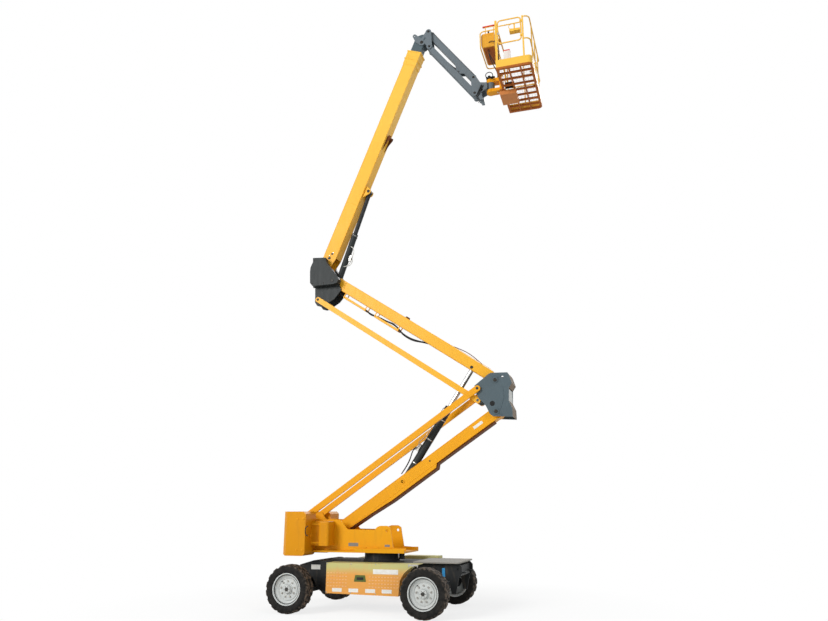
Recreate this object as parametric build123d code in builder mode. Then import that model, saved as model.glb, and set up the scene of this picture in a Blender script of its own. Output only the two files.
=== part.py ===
"""Articulating boom lift: chassis, slewing turntable, two-arm tower, telescopic boom, jib and platform.

Millimetres, +Z up, +X towards the platform, origin on the ground under the slew axis.
The arms stand part raised; every joint is at zero in this pose.
"""
from build123d import *
import math
import os

os.makedirs("parts", exist_ok=True)

# ---------------------------------------------------------------- driving dimensions
overall_width = 2490
tyre_radius = 416
tyre_width = 305
rear_axle_x = -1365
front_axle_x = 1175
rim_radius = 272
kingpin_y = 1000
deck_height = 860
frame_bottom = 345
panel_outer_y = 930
frame_half_width = 600

ring_radius = 330
turntable_floor = 1010

arm_length = 4155
arm_angle = 34.1
arm_half_width = 125
arm_wall = 12
tower_foot = (-1100, 1240)
knuckle_height = 600
lower_link_offset = (-340, 446)
upper_link_offset = (-355, -370)
link_height = 114

boom_angle = 68.1
boom_pivot_offset = (-317, 481)
boom_drop = 110
boom_height = 310
boom_half_width = 130
boom_length = 5300
inner_height = 250
inner_half_width = 100
inner_tail = 400

jib_angle = -54.24
jib_length = 1762
jib_head_pin = (5664, -186)
jib_arm_pin = (160, 255)
jib_link_offset = (20, -400)
jib_lug = (1344, -135)

floor_height = 10600
platform_x = 2687
platform_depth = 750
platform_width = 1720
rail_radius = 16

pin_radius = 40
pin_gap = 1.0
seat_gap = 0.3
plate = 20


# ---------------------------------------------------------------- frames and helpers
def point_on(origin, angle, along, up=0.0):
    """Side-view point (x, z) that lies along and up from an origin in a frame turned by the angle."""
    c = math.cos(math.radians(angle))
    s = math.sin(math.radians(angle))
    return (origin[0] + along * c - up * s, origin[1] + along * s + up * c)


def side_plane(origin=(0, 0), angle=0.0, across=0.0):
    """Side-view plane: x along the angle, y square to it, drawn at the given place in Y."""
    c = math.cos(math.radians(angle))
    s = math.sin(math.radians(angle))
    return Plane(origin=(origin[0], across, origin[1]), x_dir=(c, 0, s), z_dir=(0, -1, 0))


def plate_planes(inner, outer, origin=(0, 0), angle=0.0):
    """Side-view planes from which an extrusion of outer - inner gives one plate on each side."""
    return side_plane(origin, angle, -inner), side_plane(origin, angle, outer)


def cross_bar(points, radius, half, mode=Mode.ADD):
    """Round bars across the machine, centred on the middle plane."""
    with Locations(*[Location((x, 0, z), (90, 0, 0)) for x, z in points]):
        Cylinder(radius, 2 * half, mode=mode)


def stubs(points, radius, inner, outer, mode=Mode.ADD):
    """Round bars on both sides, from the inner to the outer distance across."""
    middle = (inner + outer) / 2
    with Locations(*[Location((x, side * middle, z), (90, 0, 0)) for x, z in points for side in (-1, 1)]):
        Cylinder(radius, outer - inner, mode=mode)


def tube(points, radius, bend=0, closed=False):
    """Round bar through a line of points, each square corner turned at the bend radius."""
    corners = [Vector(*point) for point in points]
    count = len(corners)
    for index in range(count if closed else count - 1):
        start = corners[index]
        end = corners[(index + 1) % count]
        way = (end - start).normalized()
        first = bend if closed or index > 0 else 0
        last = bend if closed or index < count - 2 else 0
        with BuildSketch(Plane(origin=start + way * first, z_dir=way)) as straight:
            Circle(radius)
        extrude(straight.sketch, amount=(end - start).length - first - last)
        if last:
            turn = (corners[(index + 2) % count] - end).normalized()
            with BuildSketch(Plane(origin=end - way * bend, z_dir=way)) as elbow:
                Circle(radius)
            revolve(elbow.sketch, axis=Axis(end - way * bend + turn * bend, way.cross(turn)), revolution_arc=90)


def shifted(point, offset):
    return (point[0] + offset[0], point[1] + offset[1])


def direction(start, end):
    """Angle in degrees and length of the line between two side-view points."""
    dx = end[0] - start[0]
    dz = end[1] - start[1]
    return math.degrees(math.atan2(dz, dx)), math.hypot(dx, dz)


arm_foot = tower_foot
arm_elbow = point_on(arm_foot, arm_angle, arm_length)
upper_elbow = shifted(arm_elbow, (0, knuckle_height))
upper_top = point_on(upper_elbow, 180 - arm_angle, arm_length)
lower_link_foot = shifted(arm_foot, lower_link_offset)
lower_link_top = shifted(arm_elbow, lower_link_offset)
upper_link_foot = shifted(upper_elbow, upper_link_offset)
upper_link_top = shifted(upper_top, upper_link_offset)
boom_pivot = shifted(upper_top, boom_pivot_offset)
head_pivot = point_on(boom_pivot, boom_angle, *jib_head_pin)
jib_arm_root = shifted(head_pivot, jib_arm_pin)
jib_link_root = shifted(jib_arm_root, jib_link_offset)
jib_arm_tip = point_on(jib_arm_root, jib_angle, jib_length)
jib_link_tip = shifted(jib_arm_tip, jib_link_offset)

# across the machine: plates, tie bars and their running gaps
turret_inner_y = 226
turret_plate = 19
link_inner_y = 251
link_width = 54
tie_inner_y = 166
tie_stub_reach = 1
top_plate_y = 137
top_plate = 23

# cylinder pins, in the frame of the arm that carries each
tower_cylinder_foot = point_on(arm_foot, arm_angle, 1878, 17)
tower_cylinder_top = point_on(upper_elbow, 180 - arm_angle, 561, -21)
boom_cylinder_foot = upper_top
boom_cylinder_top = point_on(boom_pivot, boom_angle, 1879, -349)
jib_cylinder_foot = jib_link_root
jib_cylinder_top = point_on(jib_arm_root, jib_angle, *jib_lug)

# ---------------------------------------------------------------- wheels
lug_height = 20
lug_count = 17
lug_lean = 56
lug_long = 58
carcass_radius = tyre_radius - lug_height
sidewall_radius = 330
bead_half = 118
bead_radius = rim_radius - 14
wheel_centre_y = overall_width / 2 - tyre_width / 2
shoulder_half = tyre_width / 2 - 12
lug_reach = (lug_lean + lug_long) / 2
lug_top = math.sqrt(tyre_radius ** 2 - lug_reach ** 2)

with BuildPart() as tread_lug:
    with BuildSketch(Plane.XY.offset(carcass_radius - 40)):
        Polygon((-lug_reach, 6), (lug_long - lug_reach, 6), (lug_reach, shoulder_half),
                (lug_reach - lug_long, shoulder_half), align=None)
    extrude(amount=lug_top - carcass_radius + 40)

with BuildPart() as tyre:
    with BuildSketch(Plane.YZ):
        Polygon((-bead_half, bead_radius), (-tyre_width / 2, sidewall_radius), (-shoulder_half, carcass_radius),
                (shoulder_half, carcass_radius), (tyre_width / 2, sidewall_radius), (bead_half, bead_radius),
                align=None)
    revolve(axis=Axis.Y)
    for index in range(lug_count):
        add(tread_lug.part.rotate(Axis.Y, index * 360 / lug_count))
        add(mirror(tread_lug.part, about=Plane.XZ).rotate(Axis.Y, (index + 0.5) * 360 / lug_count))

dish_y = -70
disc = 14
flange_y = bead_half + 16
with BuildPart() as rim:
    with BuildSketch(Plane.YZ):
        Polygon((-flange_y, rim_radius), (-bead_half - 10, rim_radius), (-bead_half - 1, bead_radius - seat_gap),
                (bead_half + 1, bead_radius - seat_gap), (bead_half + 10, rim_radius), (flange_y, rim_radius),
                (bead_half, 240), (dish_y + disc, 225), (dish_y + disc, 0), (dish_y - 58, 0), (dish_y - 50, 66),
                (dish_y, 84), (dish_y + 8, 190), (dish_y - 20, 236), (-flange_y, 258), align=None)
    revolve(axis=Axis.Y)

wheel_places = {  # name: (x, side)
    "front_left": (front_axle_x, 1),
    "front_right": (front_axle_x, -1),
    "rear_left": (rear_axle_x, 1),
    "rear_right": (rear_axle_x, -1),
}
for place, (wheel_x, side) in wheel_places.items():
    centre = Location((wheel_x, side * wheel_centre_y, tyre_radius))
    tyre_here = (tyre.part if side < 0 else mirror(tyre.part, about=Plane.XZ)).moved(centre)
    rim_here = (rim.part if side < 0 else mirror(rim.part, about=Plane.XZ)).moved(centre)
    tyre_here.label = f"tyre_{place}"
    rim_here.label = f"rim_{place}"
    export_step(tyre_here, f"parts/tyre_{place}.step")
    export_step(rim_here, f"parts/rim_{place}.step")

# ---------------------------------------------------------------- chassis
hub_face_y = wheel_centre_y - dish_y - disc - seat_gap
frame_rear_x = -1500
frame_front_x = 1620
beam_half_width = 430
rear_underside = 560
front_underside = 570

with BuildPart() as chassis_frame:
    with BuildSketch(side_plane()):
        Polygon((-1000, frame_bottom), (800, frame_bottom), (800, deck_height), (-1000, deck_height), align=None)
    extrude(amount=frame_half_width, both=True)
    with BuildSketch(side_plane()):
        Polygon((-980, frame_bottom - 5), (780, frame_bottom - 5), (780, deck_height - plate),
                (-980, deck_height - plate), align=None)
    extrude(amount=frame_half_width - plate, both=True, mode=Mode.SUBTRACT)
    with BuildSketch(side_plane()):
        Polygon((frame_rear_x, 600), (frame_rear_x, 780), (-1220, deck_height), (-1000, deck_height),
                (-1000, frame_bottom), (-1120, frame_bottom), (-1230, rear_underside),
                (-1400, rear_underside), align=None)
    extrude(amount=beam_half_width, both=True)
    with BuildSketch(side_plane()):
        Polygon((800, deck_height), (1500, deck_height), (frame_front_x, 815), (frame_front_x, 640),
                (1400, front_underside), (960, front_underside), (800, frame_bottom), align=None)
    extrude(amount=beam_half_width, both=True)
    with BuildSketch(side_plane()):
        Polygon((frame_rear_x + plate, 620), (frame_rear_x + plate, 765), (-1220, deck_height - plate),
                (-970, deck_height - plate), (-970, frame_bottom + 40), (-1108, frame_bottom + 40),
                (-1220, rear_underside + plate), (-1390, rear_underside + plate), align=None)
    extrude(amount=beam_half_width - plate, both=True, mode=Mode.SUBTRACT)
    with BuildSketch(side_plane()):
        Polygon((770, deck_height - plate), (1490, deck_height - plate), (frame_front_x - plate, 800),
                (frame_front_x - plate, 655), (1390, front_underside + plate), (950, front_underside + plate),
                (810, frame_bottom + 60), (770, frame_bottom + 60), align=None)
    extrude(amount=beam_half_width - plate, both=True, mode=Mode.SUBTRACT)
    with Locations((0, 0, deck_height - 110), (-500, 0, deck_height - 110), (450, 0, deck_height - 110)):
        Box(plate, 2 * frame_half_width - plate, 200)
    with BuildSketch(*plate_planes(beam_half_width - 1, beam_half_width + plate)):
        Polygon((1330, 600), (1330, 850), (1620, 850), (1672, 800), (1672, 690), (1610, 600), (1560, 350),
                (1480, 350), (1440, 560), align=None)
        with Locations((1600, 760)):
            Circle(24, mode=Mode.SUBTRACT)
    extrude(amount=plate + 1)
chassis_frame.part.label = "chassis_frame"
export_step(chassis_frame.part, "parts/chassis_frame.step")

panel_rear_x = -730
panel_skin = 6
panel_inner_y = frame_half_width + seat_gap


def panel_outline():
    """Side cover, from its square rear end to the arch over the front wheel."""
    with BuildLine() as edge:
        Polyline((1006, 856), (1006, deck_height), (panel_rear_x, deck_height), (panel_rear_x, frame_bottom),
                 (642, frame_bottom - 15), (672, 590))
        ThreePointArc((672, 590), (800, 757), (1006, 856))
    make_face(edge.edges())


with BuildPart() as side_covers:
    for side in (-1, 1):
        with BuildSketch(side_plane(across=side * panel_outer_y)):
            panel_outline()
        extrude(amount=side * (panel_outer_y - panel_inner_y))
        with BuildSketch(side_plane(across=side * (panel_outer_y - panel_skin))):
            panel_outline()
            offset(amount=-panel_skin, kind=Kind.INTERSECTION, mode=Mode.REPLACE)
        extrude(amount=side * (panel_outer_y - panel_skin - panel_inner_y + 1), mode=Mode.SUBTRACT)
    with Locations((600, 760, deck_height + 26)):
        Box(710, 300, 52)
side_covers.part.label = "chassis_side_covers"
export_step(side_covers.part, "parts/chassis_side_covers.step")

deck_thick = 22
deck_half = 560
with BuildPart() as front_deck:
    with BuildSketch(Plane.XY.offset(deck_height + seat_gap)):
        with Locations((1225, 0)):
            Rectangle(850, 2 * deck_half)
    extrude(amount=deck_thick)
    fillet(front_deck.edges().filter_by(Axis.Z).group_by(Axis.X)[-1], 60)
front_deck.part.label = "front_deck"
export_step(front_deck.part, "parts/front_deck.step")

axle_line = Axis((rear_axle_x, 0, tyre_radius), (0, 1, 0))
axle_tube = 78
hub_radius = 118
hub_long = 190
with BuildPart() as rear_axle:
    with BuildSketch(Plane(origin=(rear_axle_x, 0, tyre_radius), x_dir=(0, 1, 0), z_dir=(1, 0, 0))):
        Polygon((-hub_face_y, 0), (-hub_face_y, hub_radius), (-hub_face_y + hub_long, hub_radius),
                (-hub_face_y + hub_long + 20, axle_tube), (-220, axle_tube), (-110, 140), (110, 140),
                (220, axle_tube), (hub_face_y - hub_long - 20, axle_tube), (hub_face_y - hub_long, hub_radius),
                (hub_face_y, hub_radius), (hub_face_y, 0), align=None)
    revolve(axis=axle_line)
    with Locations((rear_axle_x, -330, (tyre_radius + rear_underside) / 2),
                   (rear_axle_x, 330, (tyre_radius + rear_underside) / 2)):
        Box(120, 90, rear_underside - tyre_radius - 2 * seat_gap)
rear_axle.part.label = "rear_axle"
export_step(rear_axle.part, "parts/rear_axle.step")

yoke_back_y = 938
yoke_reach = 95
kingpin_radius = 22
beam_height = 130
with BuildPart() as front_axle:
    with Locations((front_axle_x, 0, tyre_radius)):
        Box(110, 2 * yoke_back_y - 20, beam_height)
    with Locations((front_axle_x, 0, (tyre_radius + front_underside) / 2)):
        Box(120, 260, front_underside - tyre_radius - 2 * seat_gap)
    for side in (-1, 1):
        with Locations((front_axle_x, side * (yoke_back_y - 10), tyre_radius)):
            Box(84, 20, 2 * yoke_reach)
        for level in (-1, 1):
            with Locations((front_axle_x, side * (yoke_back_y + kingpin_y) / 2, tyre_radius + level * 84)):
                Box(84, kingpin_y - yoke_back_y + 2, 22)
            with Locations((front_axle_x, side * kingpin_y, tyre_radius + level * 84)):
                Cylinder(42, 22)
        with Locations((front_axle_x, side * kingpin_y, tyre_radius)):
            Cylinder(kingpin_radius, 2 * yoke_reach + 24)
front_axle.part.label = "front_axle"
export_step(front_axle.part, "parts/front_axle.step")

arm_reach = 130
arm_drop = 30
for side, name in ((1, "left"), (-1, "right")):
    with BuildPart() as knuckle:
        with Locations((front_axle_x, side * kingpin_y, tyre_radius)):
            Cylinder(40, 132)
        with Locations(Location((front_axle_x, side * (kingpin_y + hub_face_y) / 2, tyre_radius), (90, 0, 0))):
            Cylinder(46, hub_face_y - kingpin_y)
        with Locations(Location((front_axle_x, side * (hub_face_y - 14), tyre_radius), (90, 0, 0))):
            Cylinder(104, 28)
        with Locations((front_axle_x - arm_reach / 2, side * kingpin_y, tyre_radius - arm_drop)):
            Box(arm_reach, 38, 20)
        with Locations((front_axle_x - arm_reach, side * kingpin_y, tyre_radius - arm_drop)):
            Cylinder(24, 20)
        with Locations((front_axle_x, side * kingpin_y, tyre_radius)):
            Cylinder(kingpin_radius + pin_gap, 140, mode=Mode.SUBTRACT)
    knuckle.part.label = f"knuckle_{name}"
    export_step(knuckle.part, f"parts/knuckle_{name}.step")

rod_radius = 16
rod_gap = 0.8
with BuildPart() as track_rod:
    rod_z = tyre_radius - arm_drop - 10 - rod_gap - rod_radius
    with Locations(Location((front_axle_x - arm_reach, 0, rod_z), (90, 0, 0))):
        Cylinder(rod_radius, 2 * kingpin_y)
    for side in (-1, 1):
        with Locations((front_axle_x - arm_reach, side * kingpin_y, rod_z)):
            Cylinder(22, 30)
track_rod.part.label = "track_rod"
export_step(track_rod.part, "parts/track_rod.step")

ring_gap = 0.8
ring_flange = 28
with BuildPart() as slew_ring:
    with BuildSketch(Plane.XY.offset(deck_height + seat_gap)):
        Circle(ring_radius + 14)
        Circle(ring_radius - 90, mode=Mode.SUBTRACT)
    extrude(amount=ring_flange)
    with BuildSketch(Plane.XY.offset(deck_height + ring_flange)):
        Circle(ring_radius - 6)
        Circle(ring_radius - 90, mode=Mode.SUBTRACT)
    extrude(amount=turntable_floor - ring_gap - deck_height - ring_flange)
slew_ring.part.label = "slew_ring"
export_step(slew_ring.part, "parts/slew_ring.step")

lug_bore = 22
lug_plate = 20
lug_radius = 50
lug_level = 700
lug_y = 300
tie_down_places = ((frame_rear_x, -1), (frame_front_x, 1))
with BuildPart() as tie_down_lugs:
    for lug_x, way in tie_down_places:
        with BuildSketch(Plane.XY.offset(lug_level)):
            with Locations((lug_x + way * (lug_radius / 2 + seat_gap), -lug_y),
                           (lug_x + way * (lug_radius / 2 + seat_gap), lug_y)):
                Rectangle(lug_radius, 2 * lug_radius)
            with Locations((lug_x + way * (lug_radius + seat_gap), -lug_y),
                           (lug_x + way * (lug_radius + seat_gap), lug_y)):
                Circle(lug_radius)
                Circle(lug_bore, mode=Mode.SUBTRACT)
        extrude(amount=lug_plate / 2, both=True)
tie_down_lugs.part.label = "tie_down_lugs"
export_step(tie_down_lugs.part, "parts/tie_down_lugs.step")

# ---------------------------------------------------------------- turntable
outer_plate_inner = 315
outer_plate_outer = 335
floor_thick = 30
floor_top = turntable_floor + floor_thick
tail_inner_x = -1600
hood_pivot = (356, 1392)
hood_pin = 8
tie_pin_radius = 26
turret_outline = [(-1600, 1035), (-1600, 1500), (-1540, 1735), (-1380, 1738), (-1320, 1640), (-980, 1330),
                  (-900, 1035)]
outer_outline = [(-1290, 1035), (-1290, 1560), (-1251, 1611), (-729, 1595), (-581, 1423), (-36, 1418),
                 (23, 1472), (82, 1491), (221, 1491), (281, 1456), (301, 1333), (343, 1105), (594, 1091),
                 (594, 1035)]
with BuildPart() as turntable_frame:
    with BuildSketch(Plane.XY.offset(turntable_floor)):
        with Locations(((594 + tail_inner_x) / 2, 0)):
            Rectangle(594 - tail_inner_x, 2 * outer_plate_outer)
        with Locations(((594 - 1240) / 2, 0)):
            Rectangle(594 + 1240, 900)
        with Locations((-765, 560)):
            Rectangle(950, 460)
    extrude(amount=floor_thick)
    with BuildSketch(*plate_planes(turret_inner_y, turret_inner_y + turret_plate)):
        Polygon(*turret_outline, align=None)
    extrude(amount=turret_plate)
    with BuildSketch(*plate_planes(outer_plate_inner, outer_plate_outer)):
        Polygon(*outer_outline, align=None)
        with Locations((216, 1403)):
            Circle(26, mode=Mode.SUBTRACT)
    extrude(amount=outer_plate_outer - outer_plate_inner)
    for hinge_x in (-1028, -492):
        with Locations((hinge_x, (outer_plate_outer + hood_pivot[0]) / 2, hood_pivot[1])):
            Box(24, hood_pivot[0] - outer_plate_outer + 16, 18)
    with Locations(Location((-760, hood_pivot[0], hood_pivot[1]), (0, 90, 0))):
        Cylinder(hood_pin, 560)
    with BuildSketch(*plate_planes(435, 450)):
        Polygon((-389, 1030), (-389, 1077), (594, 1091), (594, 1030), align=None)
    extrude(amount=15)
    with Locations((tail_inner_x + 10, 0, 1270)):
        Box(20, 2 * turret_inner_y + 10, 460)
    for side in (-1, 1):
        with Locations((-1270, side * 280, 1150)):
            Box(24, 90, 220)
    cross_bar([arm_foot], pin_radius, turret_inner_y + turret_plate)
    stubs([arm_foot], pin_radius + 22, turret_inner_y + turret_plate, turret_inner_y + turret_plate + 12)
    stubs([lower_link_foot], tie_pin_radius, turret_inner_y, link_inner_y + link_width + 5)
turntable_frame.part.label = "turntable_frame"
export_step(turntable_frame.part, "parts/turntable_frame.step")

tail_side_y = 790
tail_inner_y = 340
tail_front_x = -1250
tail_bottom = 955
tail_top = 1750
with BuildPart() as counterweight:
    with BuildSketch(Plane.XY.offset(tail_bottom)):
        with BuildLine():
            Polyline((tail_inner_x - seat_gap, -tail_side_y), (-1640, -tail_side_y), (-1720, -720))
            ThreePointArc((-1720, -720), (-1850, 0), (-1720, 720))
            Polyline((-1720, 720), (-1640, tail_side_y), (tail_inner_x - seat_gap, tail_side_y),
                     (tail_inner_x - seat_gap, -tail_side_y))
        make_face()
    extrude(amount=tail_top - tail_bottom)
    with BuildSketch(side_plane()):
        Polygon((-1900, 900), (-1900, 1080), (-1780, 1000), (-1660, 954), (-1660, 900), align=None)
        Polygon((-1900, 1800), (-1900, 1690), (-1780, 1735), (-1740, 1751), (-1740, 1800), align=None)
    extrude(amount=900, both=True, mode=Mode.SUBTRACT)
counterweight.part.label = "counterweight"
export_step(counterweight.part, "parts/counterweight.step")

with BuildPart() as counterweight_wings:
    for side in (-1, 1):
        with Locations(((tail_inner_x + tail_front_x) / 2, side * (tail_inner_y + tail_side_y) / 2,
                        (tail_bottom + tail_top) / 2)):
            Box(tail_front_x - tail_inner_x, tail_side_y - tail_inner_y, tail_top - tail_bottom)
    front_edges = counterweight_wings.edges().filter_by(Axis.Y).group_by(Axis.X)[-1]
    chamfer(front_edges.group_by(Axis.Z)[-1], 45)
    fillet(front_edges.group_by(Axis.Z)[0], 60)
counterweight_wings.part.label = "counterweight_wings"
export_step(counterweight_wings.part, "parts/counterweight_wings.step")

with BuildPart() as hood_box:
    with Locations((-955, -(outer_plate_outer + seat_gap + 620) / 2, 1352)):
        Box(210, 620 - outer_plate_outer - seat_gap, 445)
    fillet(hood_box.edges().filter_by(Axis.Z).group_by(Axis.Y)[0], 40)
    fillet(hood_box.faces().sort_by(Axis.Z)[-1].edges().group_by(Axis.Y)[0], 25)
    with Locations((-1155, -(outer_plate_outer + seat_gap + 520) / 2, 1352)):
        Box(190, 520 - outer_plate_outer - seat_gap, 445)
hood_box.part.label = "hood_box"
export_step(hood_box.part, "parts/hood_box.step")

hood_skin = 8
with BuildPart() as engine_hood:
    with BuildSketch(Plane.YZ.offset(-1215)):
        Polygon((350, 1200), (350, 1410), (740, 1410), (785, 1365), (785, 1046), (640, 1046), (640, 1200),
                align=None)
    extrude(amount=910)
    with BuildSketch(Plane.YZ.offset(-1215 + hood_skin)):
        Polygon((340, 1040), (340, 1410 - hood_skin), (740 - hood_skin, 1410 - hood_skin),
                (785 - hood_skin, 1365 - hood_skin), (785 - hood_skin, 1040), align=None)
    extrude(amount=910 - 2 * hood_skin, mode=Mode.SUBTRACT)
    with Locations(Location((-760, hood_pivot[0], hood_pivot[1]), (0, 90, 0))):
        Cylinder(hood_pin + 6, 500)
        Cylinder(hood_pin + 0.6, 520, mode=Mode.SUBTRACT)
    for hinge_x in (-1028, -492):
        with Locations((hinge_x, hood_pivot[0] + 6, hood_pivot[1] + 10)):
            Box(36, 46, 40, mode=Mode.SUBTRACT)
engine_hood.part.label = "engine_hood"
export_step(engine_hood.part, "parts/engine_hood.step")

with BuildPart() as engine_block:
    with Locations((-780, 500, floor_top + seat_gap + 120)):
        Box(740, 240, 240)
    with Locations((-780, 490, floor_top + 270)):
        Box(520, 180, 100)
engine_block.part.label = "engine_block"
export_step(engine_block.part, "parts/engine_block.step")

with BuildPart() as slew_motor:
    with Locations((402, 0, (886 + turntable_floor - seat_gap) / 2)):
        Cylinder(54, turntable_floor - seat_gap - 886)
slew_motor.part.label = "slew_motor"
export_step(slew_motor.part, "parts/slew_motor.step")

# ---------------------------------------------------------------- tower: lower arm
end_radius = 115
boss_radius = 74
boss_reach = 222
slot_half = 90
tower_pin_radius = 30
lower_top = 115
belly = [(0, -100), (450, -98), (1000, -120), (1500, -155), (2580, -155), (2640, -90), (arm_length, -100)]
tower_pin = (1878, 17)

with BuildPart() as lower_arm:
    with BuildSketch(side_plane(arm_foot, arm_angle)):
        Polygon((0, lower_top), *belly, (arm_length, lower_top), align=None)
        with Locations((0, 0), (arm_length, 0)):
            Circle(end_radius)
    extrude(amount=arm_half_width, both=True)
    with BuildSketch(side_plane(arm_foot, arm_angle)):
        Polygon((190, lower_top - arm_wall), (190, -80), (1000, -120 + arm_wall), (1500, -155 + arm_wall),
                (2570, -155 + arm_wall), (2630, -90 + arm_wall), (arm_length - 190, -86),
                (arm_length - 190, lower_top - arm_wall), align=None)
    extrude(amount=arm_half_width - arm_wall, both=True, mode=Mode.SUBTRACT)
    with BuildSketch(side_plane(arm_foot, arm_angle)):
        Polygon((1650, 60), (3080, 60), (3080, lower_top + 5), (1650, lower_top + 5), align=None)
    extrude(amount=slot_half, both=True, mode=Mode.SUBTRACT)
    stubs([arm_foot, arm_elbow], boss_radius, arm_half_width - 5, boss_reach)
    cross_bar([arm_foot, arm_elbow], pin_radius + pin_gap, boss_reach + 5, mode=Mode.SUBTRACT)
    cross_bar([tower_cylinder_foot], tower_pin_radius, arm_half_width)
    stubs([tower_cylinder_foot], tower_pin_radius + 16, arm_half_width, arm_half_width + 10)
lower_arm.part.label = "lower_arm"
export_step(lower_arm.part, "parts/lower_arm.step")

tray_thick = 27.5
tray_half = 100
tray_line = [(500, -100)] + belly[2:6] + [(arm_length - 150, -99)]
with BuildPart() as lower_hose_tray:
    with BuildSketch(side_plane(arm_foot, arm_angle)):
        Polygon(*[(x, z - 0.5) for x, z in tray_line],
                *[(x, z - tray_thick) for x, z in reversed(tray_line)], align=None)
    extrude(amount=tray_half, both=True)
lower_hose_tray.part.label = "lower_hose_tray"
export_step(lower_hose_tray.part, "parts/lower_hose_tray.step")


def tie_bars(start, end, inner, width, height, pin):
    """Pair of flat tie bars with round eyes, one each side."""
    angle, length = direction(start, end)
    with BuildSketch(*plate_planes(inner, inner + width, start, angle)) as bars:
        with Locations((length / 2, 0)):
            SlotCenterToCenter(length, height)
        with Locations((0, 0), (length, 0)):
            Circle(pin + pin_gap, mode=Mode.SUBTRACT)
    extrude(bars.sketch, amount=width)


with BuildPart() as lower_tie_links:
    tie_bars(lower_link_foot, lower_link_top, link_inner_y, link_width, link_height, tie_pin_radius)
lower_tie_links.part.label = "lower_tie_links"
export_step(lower_tie_links.part, "parts/lower_tie_links.step")

with BuildPart() as upper_tie_links:
    tie_bars(upper_link_foot, upper_link_top, tie_inner_y, link_width, link_height - 4, tie_pin_radius)
upper_tie_links.part.label = "upper_tie_links"
export_step(upper_tie_links.part, "parts/upper_tie_links.step")

# ---------------------------------------------------------------- middle knuckle
knuckle_outline = [(-405, 508), (-226, 644), (-116, 726), (-67, 742), (242, 734), (269, 685), (320, 528),
                   (259, 436), (250, 189), (310, 55), (313, -113), (-64, -89), (-120, -40), (-183, 95),
                   (-220, 153), (-324, 254), (-370, 352)]
with BuildPart() as mid_knuckle:
    with BuildSketch(*plate_planes(turret_inner_y, turret_inner_y + turret_plate, arm_elbow)):
        Polygon(*knuckle_outline, align=None)
        with Locations((-66, 166), (143, 653)):
            Circle(22, mode=Mode.SUBTRACT)
    extrude(amount=turret_plate)
    with BuildSketch(side_plane(arm_elbow)):
        Polygon((-200, 200), (200, 200), (200, 380), (-200, 380), align=None)
        Polygon((-180, 220), (180, 220), (180, 360), (-180, 360), align=None, mode=Mode.SUBTRACT)
    extrude(amount=turret_inner_y + 5, both=True)
    with BuildSketch(*plate_planes(135, 160, arm_elbow)):
        with Locations((-355, 230)):
            Circle(48)
        Polygon((-355, 182), (-190, 205), (-190, 375), (-375, 275), align=None)
    extrude(amount=25)
    cross_bar([arm_elbow, upper_elbow], pin_radius, turret_inner_y + turret_plate)
    stubs([arm_elbow, upper_elbow], pin_radius + 20, turret_inner_y + turret_plate,
          turret_inner_y + turret_plate + 12)
    stubs([lower_link_top], tie_pin_radius, turret_inner_y, link_inner_y + link_width + 5)
    stubs([upper_link_foot], tie_pin_radius, 135, tie_inner_y + link_width + tie_stub_reach)
mid_knuckle.part.label = "mid_knuckle"
export_step(mid_knuckle.part, "parts/mid_knuckle.step")

with BuildPart() as knuckle_cover:
    with BuildSketch(side_plane(arm_elbow)):
        Polygon((236, 195), (248, 195), (248, 425), (236, 425), align=None)
        Polygon((252, 676), (263, 680), (313, 530), (302, 526), align=None)
    extrude(amount=turret_inner_y - seat_gap, both=True)
knuckle_cover.part.label = "knuckle_cover"
export_step(knuckle_cover.part, "parts/knuckle_cover.step")

# ---------------------------------------------------------------- tower: upper arm
upper_top_n = 150
upper_bottom_n = -70
fork_end = 340
pocket_end = 1720
pocket_half = 105
slot_reach = 1500
with BuildPart() as upper_arm:
    with BuildSketch(side_plane(upper_top, -arm_angle)):
        Polygon((0, upper_bottom_n), (arm_length, upper_bottom_n), (arm_length, 115), (arm_length - 260, 130),
                (1800, upper_top_n), (60, upper_top_n), (-60, 90), align=None)
        with Locations((0, 0), (arm_length, 0)):
            Circle(108)
    extrude(amount=arm_half_width, both=True)
    with BuildSketch(side_plane(upper_top, -arm_angle)):
        Polygon((fork_end + 10, upper_bottom_n + arm_wall), (3960, upper_bottom_n + arm_wall), (3960, 108),
                (1800, upper_top_n - arm_wall), (fork_end + 10, upper_top_n - arm_wall), align=None)
    extrude(amount=arm_half_width - arm_wall, both=True, mode=Mode.SUBTRACT)
    with BuildSketch(side_plane(upper_top, -arm_angle)):
        Polygon((-200, 200), (pocket_end, 200), (pocket_end, 60), (fork_end, upper_bottom_n + arm_wall),
                (fork_end, -200), (-200, -200), align=None)
        Polygon((arm_length - slot_reach, -200), (arm_length - 250, -200), (arm_length - 250, 200),
                (arm_length - slot_reach, 200), align=None)
    extrude(amount=slot_half + 5, both=True, mode=Mode.SUBTRACT)
    with BuildSketch(side_plane(upper_top, -arm_angle)):
        Polygon((-200, 200), (fork_end, 200), (fork_end, -200), (-200, -200), align=None)
    extrude(amount=pocket_half, both=True, mode=Mode.SUBTRACT)
    stubs([upper_elbow], boss_radius, arm_half_width - 5, boss_reach)
    cross_bar([upper_elbow], pin_radius + pin_gap, boss_reach + 5, mode=Mode.SUBTRACT)
    cross_bar([upper_top], pin_radius + pin_gap, arm_half_width + 5, mode=Mode.SUBTRACT)
upper_arm.part.label = "upper_arm"
export_step(upper_arm.part, "parts/upper_arm.step")

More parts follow.
